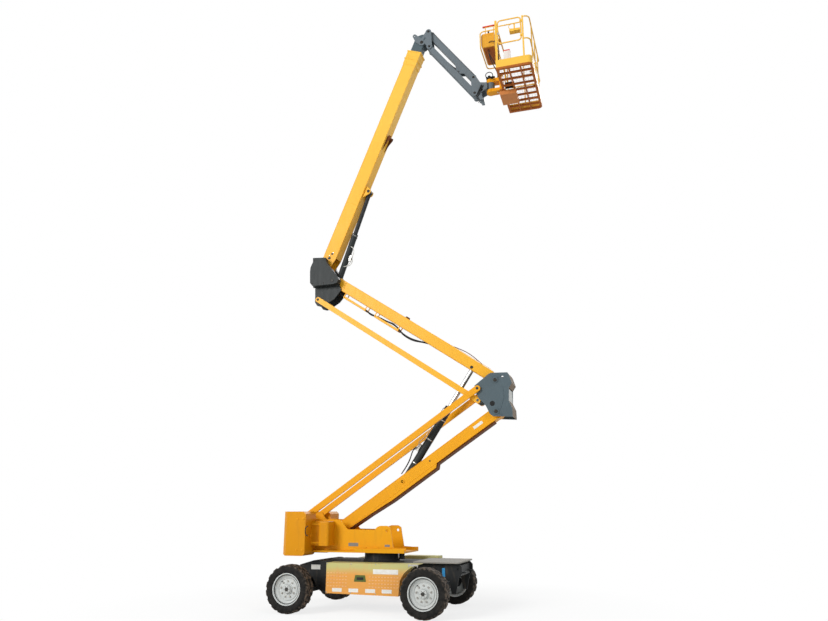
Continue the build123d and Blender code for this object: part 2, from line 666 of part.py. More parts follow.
hanger_drop = 215
with BuildPart() as upper_hose_tray:
    for start, end in ((380, 950), (1550, 1900)):
        with BuildSketch(side_plane(upper_top, -arm_angle)):
            Polygon((start, -hanger_drop), (end, -hanger_drop), (end, -hanger_drop + 18),
                    (start, -hanger_drop + 18), align=None)
            for along in (start + 40, end - 60):
                Polygon((along, -hanger_drop), (along + 22, -hanger_drop), (along + 22, upper_bottom_n - 0.5),
                        (along, upper_bottom_n - 0.5), align=None)
        extrude(amount=80, both=True)
upper_hose_tray.part.label = "upper_hose_tray"
export_step(upper_hose_tray.part, "parts/upper_hose_tray.step")

# ---------------------------------------------------------------- top knuckle
top_outline = [(-500, -76), (-520, 0), (-520, 290), (-460, 440), (-450, 535), (-190, 525), (-165, 440),
               (-80, 320), (110, 90), (130, 20), (110, -60), (155, -180), (-1, -367), (-228, -503),
               (-298, -519), (-393, -489), (-443, -417), (-458, -76)]
cover_outline = [(-473, 567), (-175, 545), (-160, 463), (-85, 340), (111, 92), (148, 21), (116, -55),
                 (24, -79), (-456, -79), (-518, -4), (-530, 249), (-523, 352), (-469, 473)]
with BuildPart() as top_knuckle:
    with BuildSketch(*plate_planes(top_plate_y, top_plate_y + top_plate, upper_top)):
        Polygon(*top_outline, align=None)
    extrude(amount=top_plate)
    with BuildSketch(side_plane(upper_top)):
        Polygon((-458, -400), (-438, -400), (-438, 150), (-458, 150), align=None)
    extrude(amount=top_plate_y + 5, both=True)
    cross_bar([upper_top, boom_pivot], pin_radius, top_plate_y + top_plate)
    stubs([upper_link_top], tie_pin_radius, top_plate_y, tie_inner_y + link_width + tie_stub_reach)
top_knuckle.part.label = "top_knuckle"
export_step(top_knuckle.part, "parts/top_knuckle.step")

cover_outer = 300
cover_wall = 6
with BuildPart() as top_knuckle_covers:
    with BuildSketch(*plate_planes(top_plate_y + top_plate + seat_gap, cover_outer, upper_top)):
        Polygon(*cover_outline, align=None)
    extrude(amount=cover_outer - top_plate_y - top_plate - seat_gap)
    with BuildSketch(*plate_planes(top_plate_y + top_plate, cover_outer - cover_wall, upper_top)):
        Polygon(*cover_outline, align=None)
        offset(amount=-cover_wall, kind=Kind.INTERSECTION, mode=Mode.REPLACE)
    extrude(amount=cover_outer - cover_wall - top_plate_y - top_plate, mode=Mode.SUBTRACT)
top_knuckle_covers.part.label = "top_knuckle_covers"
export_step(top_knuckle_covers.part, "parts/top_knuckle_covers.step")

# ---------------------------------------------------------------- boom
boom_top_n = boom_height / 2 - boom_drop
boom_bottom_n = -boom_height / 2 - boom_drop
boom_wall = 10
collar_start = 5050
collar_end = 5270
slide_gap = 0.5
boom_lug_inner = 65
boom_lug_outer = 90
with BuildPart() as main_boom:
    with BuildSketch(side_plane(boom_pivot, boom_angle)):
        Polygon((-130, boom_top_n), (-130, -60), (-50, -210), (200, boom_bottom_n),
                (boom_length, boom_bottom_n), (boom_length, boom_top_n), align=None)
    extrude(amount=boom_half_width, both=True)
    with BuildSketch(side_plane(boom_pivot, boom_angle)):
        Polygon((collar_start, boom_bottom_n - 8), (collar_end, boom_bottom_n - 8), (collar_end, boom_top_n + 8),
                (collar_start, boom_top_n + 8), align=None)
    extrude(amount=boom_half_width + 8, both=True)
    with BuildSketch(side_plane(boom_pivot, boom_angle)):
        Polygon((200, boom_bottom_n + boom_wall), (collar_start, boom_bottom_n + boom_wall),
                (collar_start, boom_top_n - boom_wall), (-140, boom_top_n - boom_wall), (-140, -300),
                (200, -300), align=None)
        with Locations((collar_start + 150, -boom_drop)):
            Rectangle(310, inner_height + 2 * slide_gap)
    extrude(amount=inner_half_width + slide_gap, both=True, mode=Mode.SUBTRACT)
    with BuildSketch(side_plane(boom_pivot, boom_angle)):
        Polygon((200, boom_bottom_n + boom_wall), (collar_start, boom_bottom_n + boom_wall),
                (collar_start, boom_top_n - boom_wall), (-140, boom_top_n - boom_wall), (-140, -300),
                (200, -300), align=None)
    extrude(amount=boom_half_width - boom_wall, both=True, mode=Mode.SUBTRACT)
    with BuildSketch(*plate_planes(boom_lug_inner, boom_lug_outer, boom_pivot, boom_angle)):
        Polygon((1690, boom_bottom_n + 5), (1840, -395), (1918, -395), (1990, boom_bottom_n + 5), align=None)
        with Locations((1879, -349)):
            Circle(52)
            Circle(30, mode=Mode.SUBTRACT)
    extrude(amount=boom_lug_outer - boom_lug_inner)
    cross_bar([boom_pivot], pin_radius + 30, boom_half_width)
    cross_bar([boom_pivot], pin_radius + pin_gap, boom_half_width + 5, mode=Mode.SUBTRACT)
main_boom.part.label = "main_boom"
export_step(main_boom.part, "parts/main_boom.step")

with BuildPart() as boom_hose_guide:
    with BuildSketch(side_plane(boom_pivot, boom_angle)):
        Polygon((2885, boom_bottom_n - seat_gap), (2920, -365), (3290, -365), (3290, boom_bottom_n - seat_gap),
                align=None)
        Polygon((2945, boom_bottom_n - 25), (2945, -340), (3250, -340), (3250, boom_bottom_n - 25),
                align=None, mode=Mode.SUBTRACT)
    extrude(amount=90, both=True)
boom_hose_guide.part.label = "boom_hose_guide"
export_step(boom_hose_guide.part, "parts/boom_hose_guide.step")

inner_top_n = inner_height / 2 - boom_drop
inner_bottom_n = -inner_height / 2 - boom_drop
tip_radius = 226
head_n = jib_head_pin[1]
fork_root = 176
jib_half = 60
jib_room = 6
with BuildPart() as inner_boom:
    with BuildSketch(side_plane(boom_pivot, boom_angle)):
        Polygon((inner_tail, inner_bottom_n), (jib_head_pin[0], inner_bottom_n), (jib_head_pin[0], inner_top_n),
                (inner_tail, inner_top_n), align=None)
        with BuildLine():
            corner = math.sqrt(tip_radius ** 2 - (inner_top_n - head_n) ** 2)
            Polyline((jib_head_pin[0] + corner, inner_top_n), (jib_head_pin[0] - 50, inner_top_n),
                     (jib_head_pin[0] - 50, inner_bottom_n), (jib_head_pin[0] + 90, inner_bottom_n),
                     (jib_head_pin[0] + tip_radius, head_n))
            RadiusArc((jib_head_pin[0] + tip_radius, head_n), (jib_head_pin[0] + corner, inner_top_n), -tip_radius)
        make_face()
    extrude(amount=inner_half_width, both=True)
    with BuildSketch(side_plane(boom_pivot, boom_angle)):
        Polygon((inner_tail - 10, inner_bottom_n + 10), (jib_head_pin[0] - 140, inner_bottom_n + 10),
                (jib_head_pin[0] - 140, inner_top_n - 10), (inner_tail - 10, inner_top_n - 10), align=None)
    extrude(amount=inner_half_width - 10, both=True, mode=Mode.SUBTRACT)
    with BuildSketch(side_plane(head_pivot, boom_angle)):
        Rectangle(2 * tip_radius + 60, 2 * tip_radius + 60)
        Circle(fork_root, mode=Mode.SUBTRACT)
        with Locations((-tip_radius, 0)):
            Rectangle(2 * tip_radius, 3 * tip_radius, mode=Mode.SUBTRACT)
    extrude(amount=jib_half + jib_room, both=True, mode=Mode.SUBTRACT)
    cross_bar([head_pivot], pin_radius + pin_gap, inner_half_width + 5, mode=Mode.SUBTRACT)
inner_boom.part.label = "inner_boom"
export_step(inner_boom.part, "parts/inner_boom.step")

# ---------------------------------------------------------------- jib
head_plate_inner = 106
head_plate_outer = 126
jib_pin_radius = 28
head_ear = (-174, 211)
jib_height = 130
with BuildPart() as jib_head:
    with BuildSketch(*plate_planes(head_plate_inner, head_plate_outer, head_pivot)):
        with Locations((0, 0)):
            Circle(78)
        with Locations(jib_arm_pin, shifted(jib_arm_pin, jib_link_offset)):
            Circle(66)
        with Locations(head_ear):
            Circle(44)
        Polygon((-214, 190), (-150, 40), (-72, -30), (20, 76), (-140, 240), align=None)
        with Locations(head_ear):
            Circle(16, mode=Mode.SUBTRACT)
        Polygon((-75, -10), (70, -40), (160, -205), (245, -145), (225, 255), (170, 320), (95, 262), (-70, 20),
                align=None)
    extrude(amount=head_plate_outer - head_plate_inner)
    cross_bar([head_pivot], pin_radius, head_plate_outer)
    cross_bar([jib_arm_root, jib_link_root], jib_pin_radius, head_plate_outer)
jib_head.part.label = "jib_head"
export_step(jib_head.part, "parts/jib_head.step")

with BuildPart() as jib_arm:
    with BuildSketch(side_plane(jib_arm_root, jib_angle)):
        with Locations((jib_length / 2, 0)):
            SlotCenterToCenter(jib_length, jib_height)
    extrude(amount=jib_half, both=True)
    with BuildSketch(*plate_planes(45, jib_half, jib_arm_root, jib_angle)):
        Polygon((1100, -50), (1300, -162), (1390, -162), (1500, -50), align=None)
        with Locations(jib_lug):
            Circle(44)
            Circle(24, mode=Mode.SUBTRACT)
    extrude(amount=jib_half - 45)
    with BuildSketch(side_plane(jib_arm_root, jib_angle)):
        Polygon((1200, -200), (1480, -200), (1480, -66), (1200, -66), align=None)
    extrude(amount=45, both=True, mode=Mode.SUBTRACT)
    cross_bar([jib_arm_root, jib_arm_tip], jib_pin_radius + pin_gap, jib_half + 5, mode=Mode.SUBTRACT)
jib_arm.part.label = "jib_arm"
export_step(jib_arm.part, "parts/jib_arm.step")

with BuildPart() as jib_link:
    tie_bars(jib_link_root, jib_link_tip, 75, 25, 120, jib_pin_radius)
jib_link.part.label = "jib_link"
export_step(jib_link.part, "parts/jib_link.step")

rotator_x = 2420
rotator_low = 10652
rotator_high = 10818
with BuildPart() as jib_end_bracket:
    with BuildSketch(*plate_planes(head_plate_inner, head_plate_outer, jib_arm_tip)):
        with Locations((0, 0), jib_link_offset):
            Circle(66)
        Polygon((-60, 20), (-40, -400), (80, -470), (140, -590), (200, -590), (170, -400), (290, -340),
                (290, -190), (150, -160), (66, 0), align=None)
    extrude(amount=head_plate_outer - head_plate_inner)
    with Locations((2330, 0, 10735)):
        Box(60, 2 * head_plate_outer, 150)
    with Locations((rotator_x, 0, (rotator_low + rotator_high) / 2)):
        Cylinder(88, rotator_high - rotator_low)
    with Locations((2370, 0, 10735)):
        Box(80, 150, 150)
    cross_bar([jib_arm_tip, jib_link_tip], jib_pin_radius, head_plate_outer)
jib_end_bracket.part.label = "jib_end_bracket"
export_step(jib_end_bracket.part, "parts/jib_end_bracket.step")

# ---------------------------------------------------------------- cylinders
cylinders = {  # name: (foot, top, barrel, radius, rod, foot eye, rod eye, eye half width, pin radius, rod tail)
    "tower": (tower_cylinder_foot, tower_cylinder_top, 1690, 75, 45, 58, 58, 55, tower_pin_radius, 860),
    "boom": (boom_cylinder_foot, boom_cylinder_top, 1190, 65, 46, 62, 50, 50, pin_radius, 740),
    "jib": (jib_cylinder_foot, jib_cylinder_top, 900, 35, 19, 40, 32, 35, jib_pin_radius, 118),
}
barrel_wall = 12
for name, (foot, top, barrel, radius, rod, eye, rod_eye, eye_half, pin, tail) in cylinders.items():
    angle, length = direction(foot, top)
    line = Axis((foot[0], 0, foot[1]), side_plane(foot, angle).x_dir)
    bore = radius - barrel_wall
    with BuildPart() as barrel_part:
        with BuildSketch(side_plane(foot, angle)):
            Polygon((20, 0), (20, radius * 0.8), (60, radius), (barrel - 80, radius), (barrel - 80, radius + 5),
                    (barrel, radius + 5), (barrel, rod + pin_gap), (barrel - 60, rod + pin_gap),
                    (barrel - 60, bore), (80, bore), (80, 0), align=None)
        revolve(axis=line)
        cross_bar([foot], eye, eye_half)
        cross_bar([foot], pin + pin_gap, radius + 5, mode=Mode.SUBTRACT)
    barrel_part.part.label = f"{name}_cylinder_barrel"
    export_step(barrel_part.part, f"parts/{name}_cylinder_barrel.step")
    with BuildPart() as rod_part:
        with BuildSketch(side_plane(foot, angle)):
            Polygon((tail, 0), (tail, bore - pin_gap), (tail + 45, bore - pin_gap), (tail + 45, rod),
                    (length - 20, rod), (length - 20, 0), align=None)
        revolve(axis=line)
        cross_bar([top], rod_eye, eye_half)
        cross_bar([top], pin * 0.7, eye_half + 5, mode=Mode.SUBTRACT)
    rod_part.part.label = f"{name}_cylinder_rod"
    export_step(rod_part.part, f"parts/{name}_cylinder_rod.step")

# ---------------------------------------------------------------- platform
front_edge_x = platform_x + platform_depth
half_y = platform_width / 2
floor_depth = 45
lug_pairs = ((10580, rotator_low - pin_gap), (rotator_high + pin_gap, 10905))
with BuildPart() as platform_support:
    for low, high in lug_pairs:
        with Locations((rotator_x, 0, (low + high) / 2)):
            Cylinder(92, high - low)
        with Locations((2545, 0, (low + high) / 2)):
            Box(260, 170, high - low)
    with Locations((platform_x - seat_gap - 26, 0, 10730)):
        Box(52, 300, 350)
    with Locations((platform_x + 120, 130, floor_height - floor_depth - seat_gap - 50)):
        Box(360, 420, 100)
platform_support.part.label = "platform_support"
export_step(platform_support.part, "parts/platform_support.step")

beam = 50
platform_corner = 90
middle_x = (platform_x + front_edge_x) / 2
with BuildPart() as platform_floor:
    with BuildSketch(Plane.XY.offset(floor_height - floor_depth)):
        with Locations((middle_x, 0)):
            Rectangle(platform_depth, platform_width)
        fillet(vertices().group_by(Axis.X)[-1], platform_corner)
        with Locations((middle_x, 0)):
            Rectangle(platform_depth - 2 * beam, platform_width - 2 * beam, mode=Mode.SUBTRACT)
        with Locations((platform_x + 260, 0), (platform_x + 500, 0)):
            Rectangle(30, platform_width - beam)
        for index in range(7):
            with Locations((middle_x, (index - 3) * 215)):
                Rectangle(platform_depth - beam, 26)
    extrude(amount=floor_depth)
platform_floor.part.label = "platform_floor"
export_step(platform_floor.part, "parts/platform_floor.step")

board_wall = 4
board_height = 175
with BuildPart() as toe_boards:
    with BuildSketch(Plane.XY.offset(floor_height + seat_gap)):
        with Locations((middle_x, 0)):
            Rectangle(platform_depth, platform_width)
        fillet(vertices().group_by(Axis.X)[-1], platform_corner)
        offset(amount=-board_wall, kind=Kind.INTERSECTION, mode=Mode.SUBTRACT)
    extrude(amount=board_height)
toe_boards.part.label = "toe_boards"
export_step(toe_boards.part, "parts/toe_boards.step")

rail_top = floor_height + 1140
mid_rail = floor_height + 600
rail_inset = board_wall + seat_gap + rail_radius
rail_left = platform_x + rail_inset
rail_right = front_edge_x - rail_inset
rail_y = half_y - rail_inset
gate_left = 2752
gate_right = 3240
post_x = 3280
gate_tube = 14
hinge_levels = (mid_rail + 90, rail_top - 95)
collar_height = 40
collar_gap = 0.6
post_bottom = floor_height + seat_gap
guard_ends_y = (-540, 240)
post_radius = rail_radius - 4
rail_bend = 100
flat_post = 44
rail_line = [(post_x, -rail_y), (rail_right, -rail_y), (rail_right, rail_y), (rail_left, rail_y),
             (rail_left, -rail_y)]
round_posts = [(rail_right, -500), (rail_right, 0), (rail_right, 500), (3060, rail_y), (rail_left, 640)]
round_posts += [(rail_left, y) for y in guard_ends_y]
with BuildPart() as platform_rails:
    with Locations((platform_x + board_wall + seat_gap + flat_post / 2, -rail_y,
                    (post_bottom + rail_top + rail_radius) / 2)):
        Box(flat_post, 2 * rail_radius, rail_top + rail_radius - post_bottom)
    with Locations((post_x, -rail_y, (post_bottom + rail_top + rail_radius) / 2)):
        Box(2 * rail_radius, 2 * rail_radius, rail_top + rail_radius - post_bottom)
    for level in (rail_top, mid_rail):
        tube([(x, y, level) for x, y in rail_line], rail_radius - 2, bend=rail_bend)
    for x, y in round_posts:
        tube([(x, y, post_bottom), (x, y, rail_top)], post_radius)
    for level in hinge_levels:
        with Locations(((gate_right + post_x) / 2, -rail_y, level)):
            Box(post_x - gate_right, 36, collar_height)
        with Locations((gate_right, -rail_y, level)):
            Cylinder(22, collar_height)
            Cylinder(gate_tube + collar_gap, collar_height + 10, mode=Mode.SUBTRACT)
platform_rails.part.label = "platform_rails"
export_step(platform_rails.part, "parts/platform_rails.step")

with BuildPart() as platform_gate:
    tube([(gate_left, -rail_y, mid_rail - 20), (gate_right, -rail_y, mid_rail - 20), (gate_right, -rail_y, rail_top),
          (gate_left, -rail_y, rail_top)], gate_tube, bend=70, closed=True)
    tube([(gate_left, -rail_y, rail_top - 130), (gate_right, -rail_y, rail_top - 130)], 12)
platform_gate.part.label = "platform_gate"
export_step(platform_gate.part, "parts/platform_gate.step")

console_x = 2475
console_y = -170
console_top = rail_top + 20
console_depth = 290
console_width = 660
console_height = 340
console_z = console_top - console_height / 2
hanger_x = console_x + 125
hanger_end_x = rail_left - rail_radius + 2 - seat_gap
with BuildPart() as control_console:
    with Locations((console_x, console_y, console_z)):
        Box(console_depth, console_width, console_height)
    fillet(control_console.edges().filter_by(Axis.Y).group_by(Axis.X)[0], 60)
    with Locations((console_x + 10, console_y, console_z - 10)):
        Box(console_depth - 40, console_width - 20, console_height - 40, mode=Mode.SUBTRACT)
    with Locations((console_x + 10, console_y, console_z - 165)):
        Box(console_depth - 60, console_width - 60, 30, mode=Mode.SUBTRACT)
    with Locations(((hanger_x + hanger_end_x) / 2, console_y, rail_top)):
        Box(hanger_end_x - hanger_x, 200, 20)
control_console.part.label = "control_console"
export_step(control_console.part, "parts/control_console.step")

guard_end_x = rail_left - post_radius - seat_gap
guard_x = 2318
guard_low = rail_top - 350
guard_high = rail_top + 50
guard_bend = 70
with BuildPart() as console_guard:
    tube([(rail_left + 10, guard_ends_y[0], guard_high), (guard_x, guard_ends_y[0], guard_high),
          (guard_x, guard_ends_y[0], guard_low), (guard_x, guard_ends_y[1], guard_low),
          (guard_end_x, guard_ends_y[1], guard_low)], 13, bend=guard_bend)
    with Locations((rail_left, guard_ends_y[0], (guard_high + rail_top + rail_radius - 2 + seat_gap) / 2)):
        Box(20, 20, guard_high - rail_top - rail_radius + 2 - seat_gap)
console_guard.part.label = "console_guard"
export_step(console_guard.part, "parts/console_guard.step")

hoop_low = console_top + seat_gap + 8
hoop_high = console_top + 200
hoop_x = (2420, 2600)
with BuildPart() as console_hoop:
    for x in hoop_x:
        tube([(x, -440, hoop_low), (x, -440, hoop_high)], 9)
    tube([(hoop_x[0] - 9, -440, hoop_high), (hoop_x[1] + 9, -440, hoop_high)], 8)
    tube([(hoop_x[0] - 9, -440, hoop_low), (hoop_x[1] + 9, -440, hoop_low)], 8)
console_hoop.part.label = "console_hoop"
export_step(console_hoop.part, "parts/console_hoop.step")

with BuildPart() as hoop_pad:
    with Locations(((hoop_x[0] + hoop_x[1]) / 2, -440, hoop_high + 18 + seat_gap)):
        Box(300, 40, 20)
hoop_pad.part.label = "hoop_pad"
export_step(hoop_pad.part, "parts/hoop_pad.step")

tray_x = 3105
tray_z = rail_top - 240
tray_back = 12 + seat_gap
with BuildPart() as tool_tray:
    with Locations((tray_x, -rail_y + tray_back + 55, tray_z)):
        Box(220, 110, 110)
    with Locations((tray_x, -rail_y + tray_back + 56, tray_z + 8)):
        Box(212, 100, 110, mode=Mode.SUBTRACT)
    with Locations((tray_x, -rail_y + tray_back + 2, tray_z + 90)):
        Box(150, 4, 110)
tool_tray.part.label = "tool_tray"
export_step(tool_tray.part, "parts/tool_tray.step")

with BuildPart() as foot_switch:
    with Locations((2860, -120, floor_height + seat_gap + 35)):
        Box(200, 140, 70)
foot_switch.part.label = "foot_switch"
export_step(foot_switch.part, "parts/foot_switch.step")

with BuildPart() as storage_box:
    with Locations((2925, -rail_y + 36, floor_height + seat_gap + 190)):
        Box(128, 90, 380)
        with Locations((0, 0, 60)):
            Box(116, 78, 380, mode=Mode.SUBTRACT)
storage_box.part.label = "storage_box"
export_step(storage_box.part, "parts/storage_box.step")
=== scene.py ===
import math
import bmesh
import bpy
import numpy as np
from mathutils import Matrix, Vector


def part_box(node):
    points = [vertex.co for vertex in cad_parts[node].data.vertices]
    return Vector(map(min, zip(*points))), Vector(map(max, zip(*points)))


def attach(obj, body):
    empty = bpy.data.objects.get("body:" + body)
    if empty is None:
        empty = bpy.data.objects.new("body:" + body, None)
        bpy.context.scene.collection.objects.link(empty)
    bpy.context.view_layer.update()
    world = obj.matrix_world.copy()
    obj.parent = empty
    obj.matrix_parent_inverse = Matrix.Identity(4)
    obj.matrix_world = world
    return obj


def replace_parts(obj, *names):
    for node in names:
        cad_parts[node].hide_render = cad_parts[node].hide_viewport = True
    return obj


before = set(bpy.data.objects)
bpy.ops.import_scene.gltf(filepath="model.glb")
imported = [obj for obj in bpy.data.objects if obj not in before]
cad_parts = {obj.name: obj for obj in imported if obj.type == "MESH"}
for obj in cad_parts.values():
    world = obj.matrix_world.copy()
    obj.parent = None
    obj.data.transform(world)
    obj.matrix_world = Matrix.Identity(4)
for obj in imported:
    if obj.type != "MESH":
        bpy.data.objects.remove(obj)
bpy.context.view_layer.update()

# ---- Studio
# A pale floor, a white backdrop and three large soft lamps, as in a photographer's hall.
# The camera stands about eye height off the machine's near front corner and looks up at it.
camera_data = bpy.data.cameras.new("camera")
camera_data.sensor_width = 36.0
camera_data.lens = 30.057
camera = bpy.data.objects.new("camera", camera_data)
camera.location = (4.727, -13.191, 1.758)
look_up, look_left = 16.18, 17.2
camera.rotation_euler = (math.radians(90.0 + look_up), 0.0, math.radians(look_left))
bpy.context.scene.collection.objects.link(camera)
bpy.context.scene.camera = camera
bpy.context.scene.view_settings.view_transform = "Standard"


def linear(code):
    """Linear red, green, blue and 1 from an sRGB hex colour such as #F2B01E."""
    srgb = np.array([int(code[i:i + 2], 16) for i in (1, 3, 5)]) / 255.0
    low, high = srgb / 12.92, ((srgb + 0.055) / 1.055) ** 2.4
    return (*np.where(srgb <= 0.04045, low, high).tolist(), 1.0)


def add_node(tree, kind, settings=None, inputs=None):
    """Adds a shader node; an input given as a socket is linked, and any other is set on the node."""
    made = tree.nodes.new(kind)
    for key, value in (settings or {}).items():
        setattr(made, key, value)
    for key, value in (inputs or {}).items():
        if isinstance(value, bpy.types.NodeSocket):
            tree.links.new(value, made.inputs[key])
        else:
            made.inputs[key].default_value = value
    return made


def empty_material(name):
    """A material with only its output node, and the tree that it is made in."""
    material = bpy.data.materials.new(name)
    material.use_nodes = True
    tree = material.node_tree
    tree.nodes.clear()
    return material, tree, tree.nodes.new("ShaderNodeOutputMaterial")


# Matte floor paint: it takes the machine's shadow near by, and fades to plain white further out.
floor_material, tree, out = empty_material("painted_studio_floor")
where = add_node(tree, "ShaderNodeTexCoord").outputs["Object"]
reach = add_node(tree, "ShaderNodeVectorMath", {"operation": "LENGTH"}, {0: where})
away = add_node(tree, "ShaderNodeMapRange", None,
                {"Value": reach.outputs["Value"], "From Min": 2.2, "From Max": 6.0, "To Min": 0.78})
rays = add_node(tree, "ShaderNodeLightPath")
matte = add_node(tree, "ShaderNodeBsdfDiffuse", None, {"Color": linear("#F4F4F2"), "Roughness": 0.6})
glow = add_node(tree, "ShaderNodeEmission", None, {"Color": (1, 1, 1, 1), "Strength": 1.0})
seen = add_node(tree, "ShaderNodeMath", {"operation": "MULTIPLY"},
                {0: rays.outputs["Is Camera Ray"], 1: away.outputs[0]})
both = add_node(tree, "ShaderNodeMixShader", None,
                {0: seen.outputs[0], 1: matte.outputs[0], 2: glow.outputs[0]})
tree.links.new(both.outputs[0], out.inputs["Surface"])
half_floor = 60.0
corners = [(x * half_floor, y * half_floor, 0.0) for x, y in ((-1, -1), (1, -1), (1, 1), (-1, 1))]
floor_mesh = bpy.data.meshes.new("floor")
floor_mesh.from_pydata(corners, [], [(0, 1, 2, 3)])
floor = bpy.data.objects.new("floor", floor_mesh)
floor.data.materials.append(floor_material)
bpy.context.scene.collection.objects.link(floor)

# The backdrop: white to the camera, in gloss and through glass, and a pale cool fill on the object.
world = bpy.data.worlds.new("studio")
world.use_nodes = True
bpy.context.scene.world = world
tree = world.node_tree
tree.nodes.clear()
rays = add_node(tree, "ShaderNodeLightPath")
glossy = add_node(tree, "ShaderNodeMath", {"operation": "MAXIMUM"},
                  {0: rays.outputs["Is Camera Ray"], 1: rays.outputs["Is Glossy Ray"]})
clear = add_node(tree, "ShaderNodeMath", {"operation": "MAXIMUM"},
                 {0: glossy.outputs[0], 1: rays.outputs["Is Transmission Ray"]})
soft = add_node(tree, "ShaderNodeBackground", None, {"Color": linear("#E8EEF4"), "Strength": 0.40})
white = add_node(tree, "ShaderNodeBackground", None, {"Color": (1, 1, 1, 1), "Strength": 1.0})
sky = add_node(tree, "ShaderNodeMixShader", None,
               {0: clear.outputs[0], 1: soft.outputs[0], 2: white.outputs[0]})
add_node(tree, "ShaderNodeOutputWorld", None, {"Surface": sky.outputs[0]})

lamps = {  # name: (place, aimed at, size in metres, watts)
    "key": ((-15.0, -28.0, 15.0), (0.5, 0.0, 6.0), 15.0, 8200),
    "fill": ((26.0, -20.0, 9.0), (0.5, 0.0, 6.0), 14.0, 1700),
    "back": ((4.0, 26.0, 22.0), (0.5, 0.0, 6.0), 14.0, 3600),
}
for name, (place, aim, size, watts) in lamps.items():
    lamp = bpy.data.lights.new(name, "AREA")
    lamp.shape = "DISK"
    lamp.size = size
    lamp.energy = watts
    holder = bpy.data.objects.new(name, lamp)
    holder.location = place
    holder.rotation_euler = (Vector(aim) - Vector(place)).to_track_quat("-Z", "Y").to_euler()
    bpy.context.scene.collection.objects.link(holder)

# ---- Wheels
# Solid-filled rubber tyres with staggered chevron lugs on one-piece steel rims.
# The rims are sprayed pale grey and dished; nuts ring the hub, and a turned steel nose stands out of it.


def moulded_rubber(name, colour, dusty, roughness, grain_scale=260.0, tread_dust_and_highlight=None):
    """Moulded rubber or plastic: matte, with dust in soft patches a few centimetres across.

    The real grain is under 1 mm; it is drawn 3 to 10 mm across so that it shows. With
    tread_dust_and_highlight, a wheel's outermost band takes that colour in spots: dried earth on the lugs,
    and a painted highlight on the lit lug tops."""
    material, tree, out = empty_material(name)
    where = add_node(tree, "ShaderNodeTexCoord").outputs["Object"]
    patches = add_node(tree, "ShaderNodeTexNoise", None, {"Vector": where, "Scale": 14.0, "Detail": 5.0})
    amount = add_node(tree, "ShaderNodeMapRange", None,
                      {"Value": patches.outputs[0], "From Min": 0.35, "From Max": 0.75})
    tint = add_node(tree, "ShaderNodeMix", {"data_type": "RGBA"},
                    {0: amount.outputs[0], 6: linear(colour), 7: linear(dusty)})
    if tread_dust_and_highlight:
        spread = add_node(tree, "ShaderNodeTexCoord").outputs["Generated"]
        off_axle = add_node(tree, "ShaderNodeVectorMath", {"operation": "MULTIPLY_ADD"},
                            {0: spread, 1: (1.0, 0.0, 1.0), 2: (-0.5, 0.0, -0.5)})
        radius = add_node(tree, "ShaderNodeVectorMath", {"operation": "LENGTH"}, {0: off_axle.outputs[0]})
        band = add_node(tree, "ShaderNodeMapRange", None,
                        {"Value": radius.outputs["Value"], "From Min": 0.455, "From Max": 0.49})
        spots = add_node(tree, "ShaderNodeTexNoise", None, {"Vector": where, "Scale": 22.0, "Detail": 4.0})
        share = add_node(tree, "ShaderNodeMapRange", None,
                         {"Value": spots.outputs[0], "From Min": 0.42, "From Max": 0.66, "To Max": 0.8})
        both = add_node(tree, "ShaderNodeMath", {"operation": "MULTIPLY"},
                        {0: band.outputs[0], 1: share.outputs[0]})
        tint = add_node(tree, "ShaderNodeMix", {"data_type": "RGBA"},
                        {0: both.outputs[0], 6: tint.outputs[2], 7: linear(tread_dust_and_highlight)})
    grain = add_node(tree, "ShaderNodeTexNoise", None, {"Vector": where, "Scale": grain_scale, "Detail": 3.0})
    bump = add_node(tree, "ShaderNodeBump", None,
                    {"Height": grain.outputs[0], "Strength": 0.25, "Distance": 0.003})
    shader = add_node(tree, "ShaderNodeBsdfPrincipled", None,
                      {"Base Color": tint.outputs[2], "Roughness": roughness, "Specular IOR Level": 0.2,
                       "Normal": bump.outputs[0]})
    tree.links.new(shader.outputs[0], out.inputs["Surface"])
    return material


